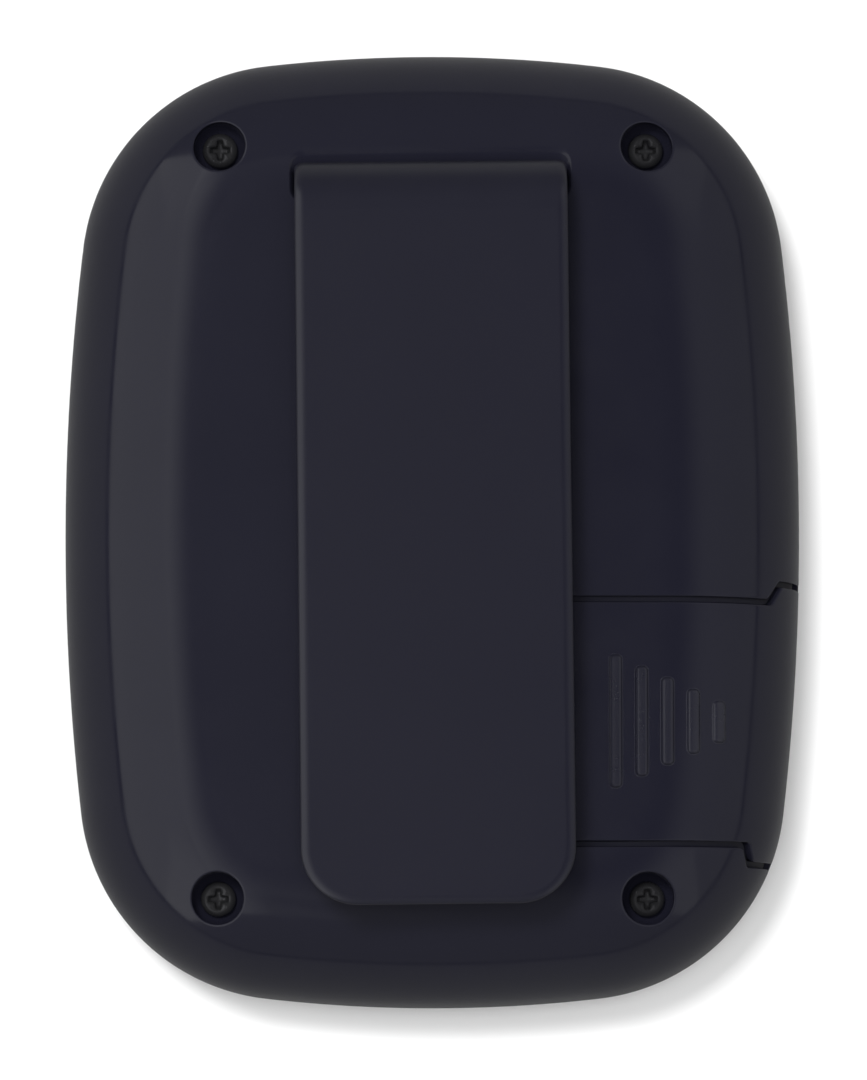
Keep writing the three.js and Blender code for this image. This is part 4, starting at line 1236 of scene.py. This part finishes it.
def make_door_rails(top):
    """The guides in the case that the door slides along, under the rear cover's inner side."""
    far = NOTCH_HALF + 0.9
    rails = [
        ((NOTCH_LEFT, DOOR_Y + sign * near, top + low), (RAIL_END_X, DOOR_Y + sign * far, top + high))
        for near, low, high in ((NOTCH_HALF - 1.4, -1.6, -0.3), (NOTCH_HALF + 0.1, -0.5, 0.4))
        for sign in (-1, 1)
    ]
    attach(blocks("door_rails", rails, 0.15), "case", "case_plastic")


def make_door_inside(top):
    """The wall inside the door, and the tongue that goes in under the rear cover's inner side."""
    boxes = [
        ((24.9, DOOR_Y - 10.2, 11.3), (26.1, DOOR_Y + 10.2, 19.9)),
        ((NOTCH_LEFT - 4, DOOR_Y - TONGUE_HALF, 19.7), (NOTCH_LEFT + 4, DOOR_Y + TONGUE_HALF, top - 0.3)),
        ((NOTCH_LEFT + 0.3, DOOR_Y - TONGUE_HALF, 20), (NOTCH_LEFT + 4, DOOR_Y + TONGUE_HALF, top + 0.4)),
    ]
    attach(blocks("door_wall_and_tongue", boxes, 0.15), "door", "case_plastic")


def make_belt_clip():
    clip = paint(make_clip(), CLIP)
    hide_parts("belt_clip")
    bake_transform(clip)
    barbs = [((x - 2.5, 30.2, 16), (x + 2.5, 31.6, CLIP_FOOT_Z + 0.5)) for x in (-BARB_X, BARB_X)]
    barbs += [((x - 2.5, 31, 16), (x + 2.5, 32.4, 16.9)) for x in (-BARB_X, BARB_X)]
    attach(blocks("clip_barbs", barbs, 0.2), "case", "clip_plastic")


def make_screws():
    for place in ("top_left", "top_right", "bottom_left", "bottom_right"):
        node = "case_screw_" + place
        attach(make_screw("screw_" + place, node), "case", "black_steel", node)


CELL_PROFILE = (
    (0, 4.1), (0, 4.7), (0.15, 4.95), (0.45, 5.05), (0.5, 5.2), (0.65, 5.25), (15, 5.25), (29, 5.25),
    (43.05, 5.25), (43.2, 5.2), (43.25, 5.0), (43.45, 4.6), (43.65, 4.0), (43.7, 3.5), (43.7, 2.2),
    (43.75, 1.95), (44.3, 1.9), (44.45, 1.75), (44.5, 1.5),
)


def make_cells():
    for place, sign in (("upper", 1), ("lower", -1)):
        node = "battery_cell_" + place
        low, high = box_mm(node)
        start = low[0] if sign > 0 else high[0]
        profile = [(sign * along, radius) for along, radius in CELL_PROFILE]
        cell = turned("cell_" + place, profile, (start, *middle(node)[1:]), 0)
        paint(cell, FINISHES["cell_jacket"])
        cell.data.materials.append(FINISHES["contact_metal"])
        for face in cell.data.polygons:
            along = abs(face.center.x / MM - start)
            face.material_index = 0 if 0.47 < along < 43.22 else 1
        attach(cell, "case", "cell_jacket", node)


SPRING_WIRE, SPRING_RADII = 0.25, (3.4, 2.1)


def make_springs():
    for name, node, body, sign in (
        ("spring_fixed", "tray_spring", "case", 1),
        ("spring_on_door", "door_spring", "door", -1),
    ):
        low, high = box_mm(node)
        start_x = low[0] + SPRING_WIRE if sign > 0 else high[0] - SPRING_WIRE
        length = high[0] - low[0] - 2 * SPRING_WIRE
        spring = coil(name, (start_x, *middle(node)[1:]), sign, length, SPRING_RADII, 3, SPRING_WIRE)
        attach(spring, body, "bright_steel", node)


def make_window():
    low, high = box_mm("display_window")
    lens = rounded_box((0, DISPLAY_Y), LENS_SIZE, 2.7)
    rows = ((0.25, low[2]), (0.07, low[2] + 0.07), (0, low[2] + 0.25), (0, high[2] - 0.1), (0.1, high[2]))
    attach(plate("window_lens", lens, rows), "case", "clear_plastic", "display_window")


def make_keys():
    rim = 0.9  # how far the flange inside the case reaches out past the key's face
    for place in KEYS:
        node = "key_" + place
        low, high = box_mm(node)
        face, back = low[2], high[2]
        outline = stadium(middle(node)[:2], (high - low)[:2])
        rows = (
            (rim + 2.6, face + 0.2), (rim + 1.6, face + 0.12), (rim + 0.8, face + 0.03), (rim + 0.35, face),
            (rim + 0.1, face + 0.1), (rim, face + 0.35), (rim, back - 0.9), (0.1, back - 0.9),
            (0, back - 0.8), (0, back - 0.1), (0.1, back),
        )
        attach(plate("keypad_" + place, outline, rows), place + "_key", "key_rubber", node)


def make_lamp():
    low, high = box_mm("light_pipe")
    profile = [
        (low[2], 0.6), (low[2] + 0.05, 0.95), (low[2] + 0.15, 1.22), (low[2] + 0.35, 1.38),
        (low[2] + 0.5, LAMP_R), (high[2] - 0.1, LAMP_R), (high[2], LAMP_R - 0.1),
    ]
    lens = turned("lamp_lens", profile, (*middle("light_pipe")[:2], 0), 2, 32)
    attach(lens, "case", "clear_plastic", "light_pipe")


make_camera()
make_lights()
make_floors()
finish_cad_nodes()
make_case()
make_door_rails(BACK_Z - REAR_WALL)
make_door_inside(BACK_Z - REAR_WALL)
make_belt_clip()
make_screws()
make_cells()
make_springs()
make_window()
make_keys()
make_lamp()
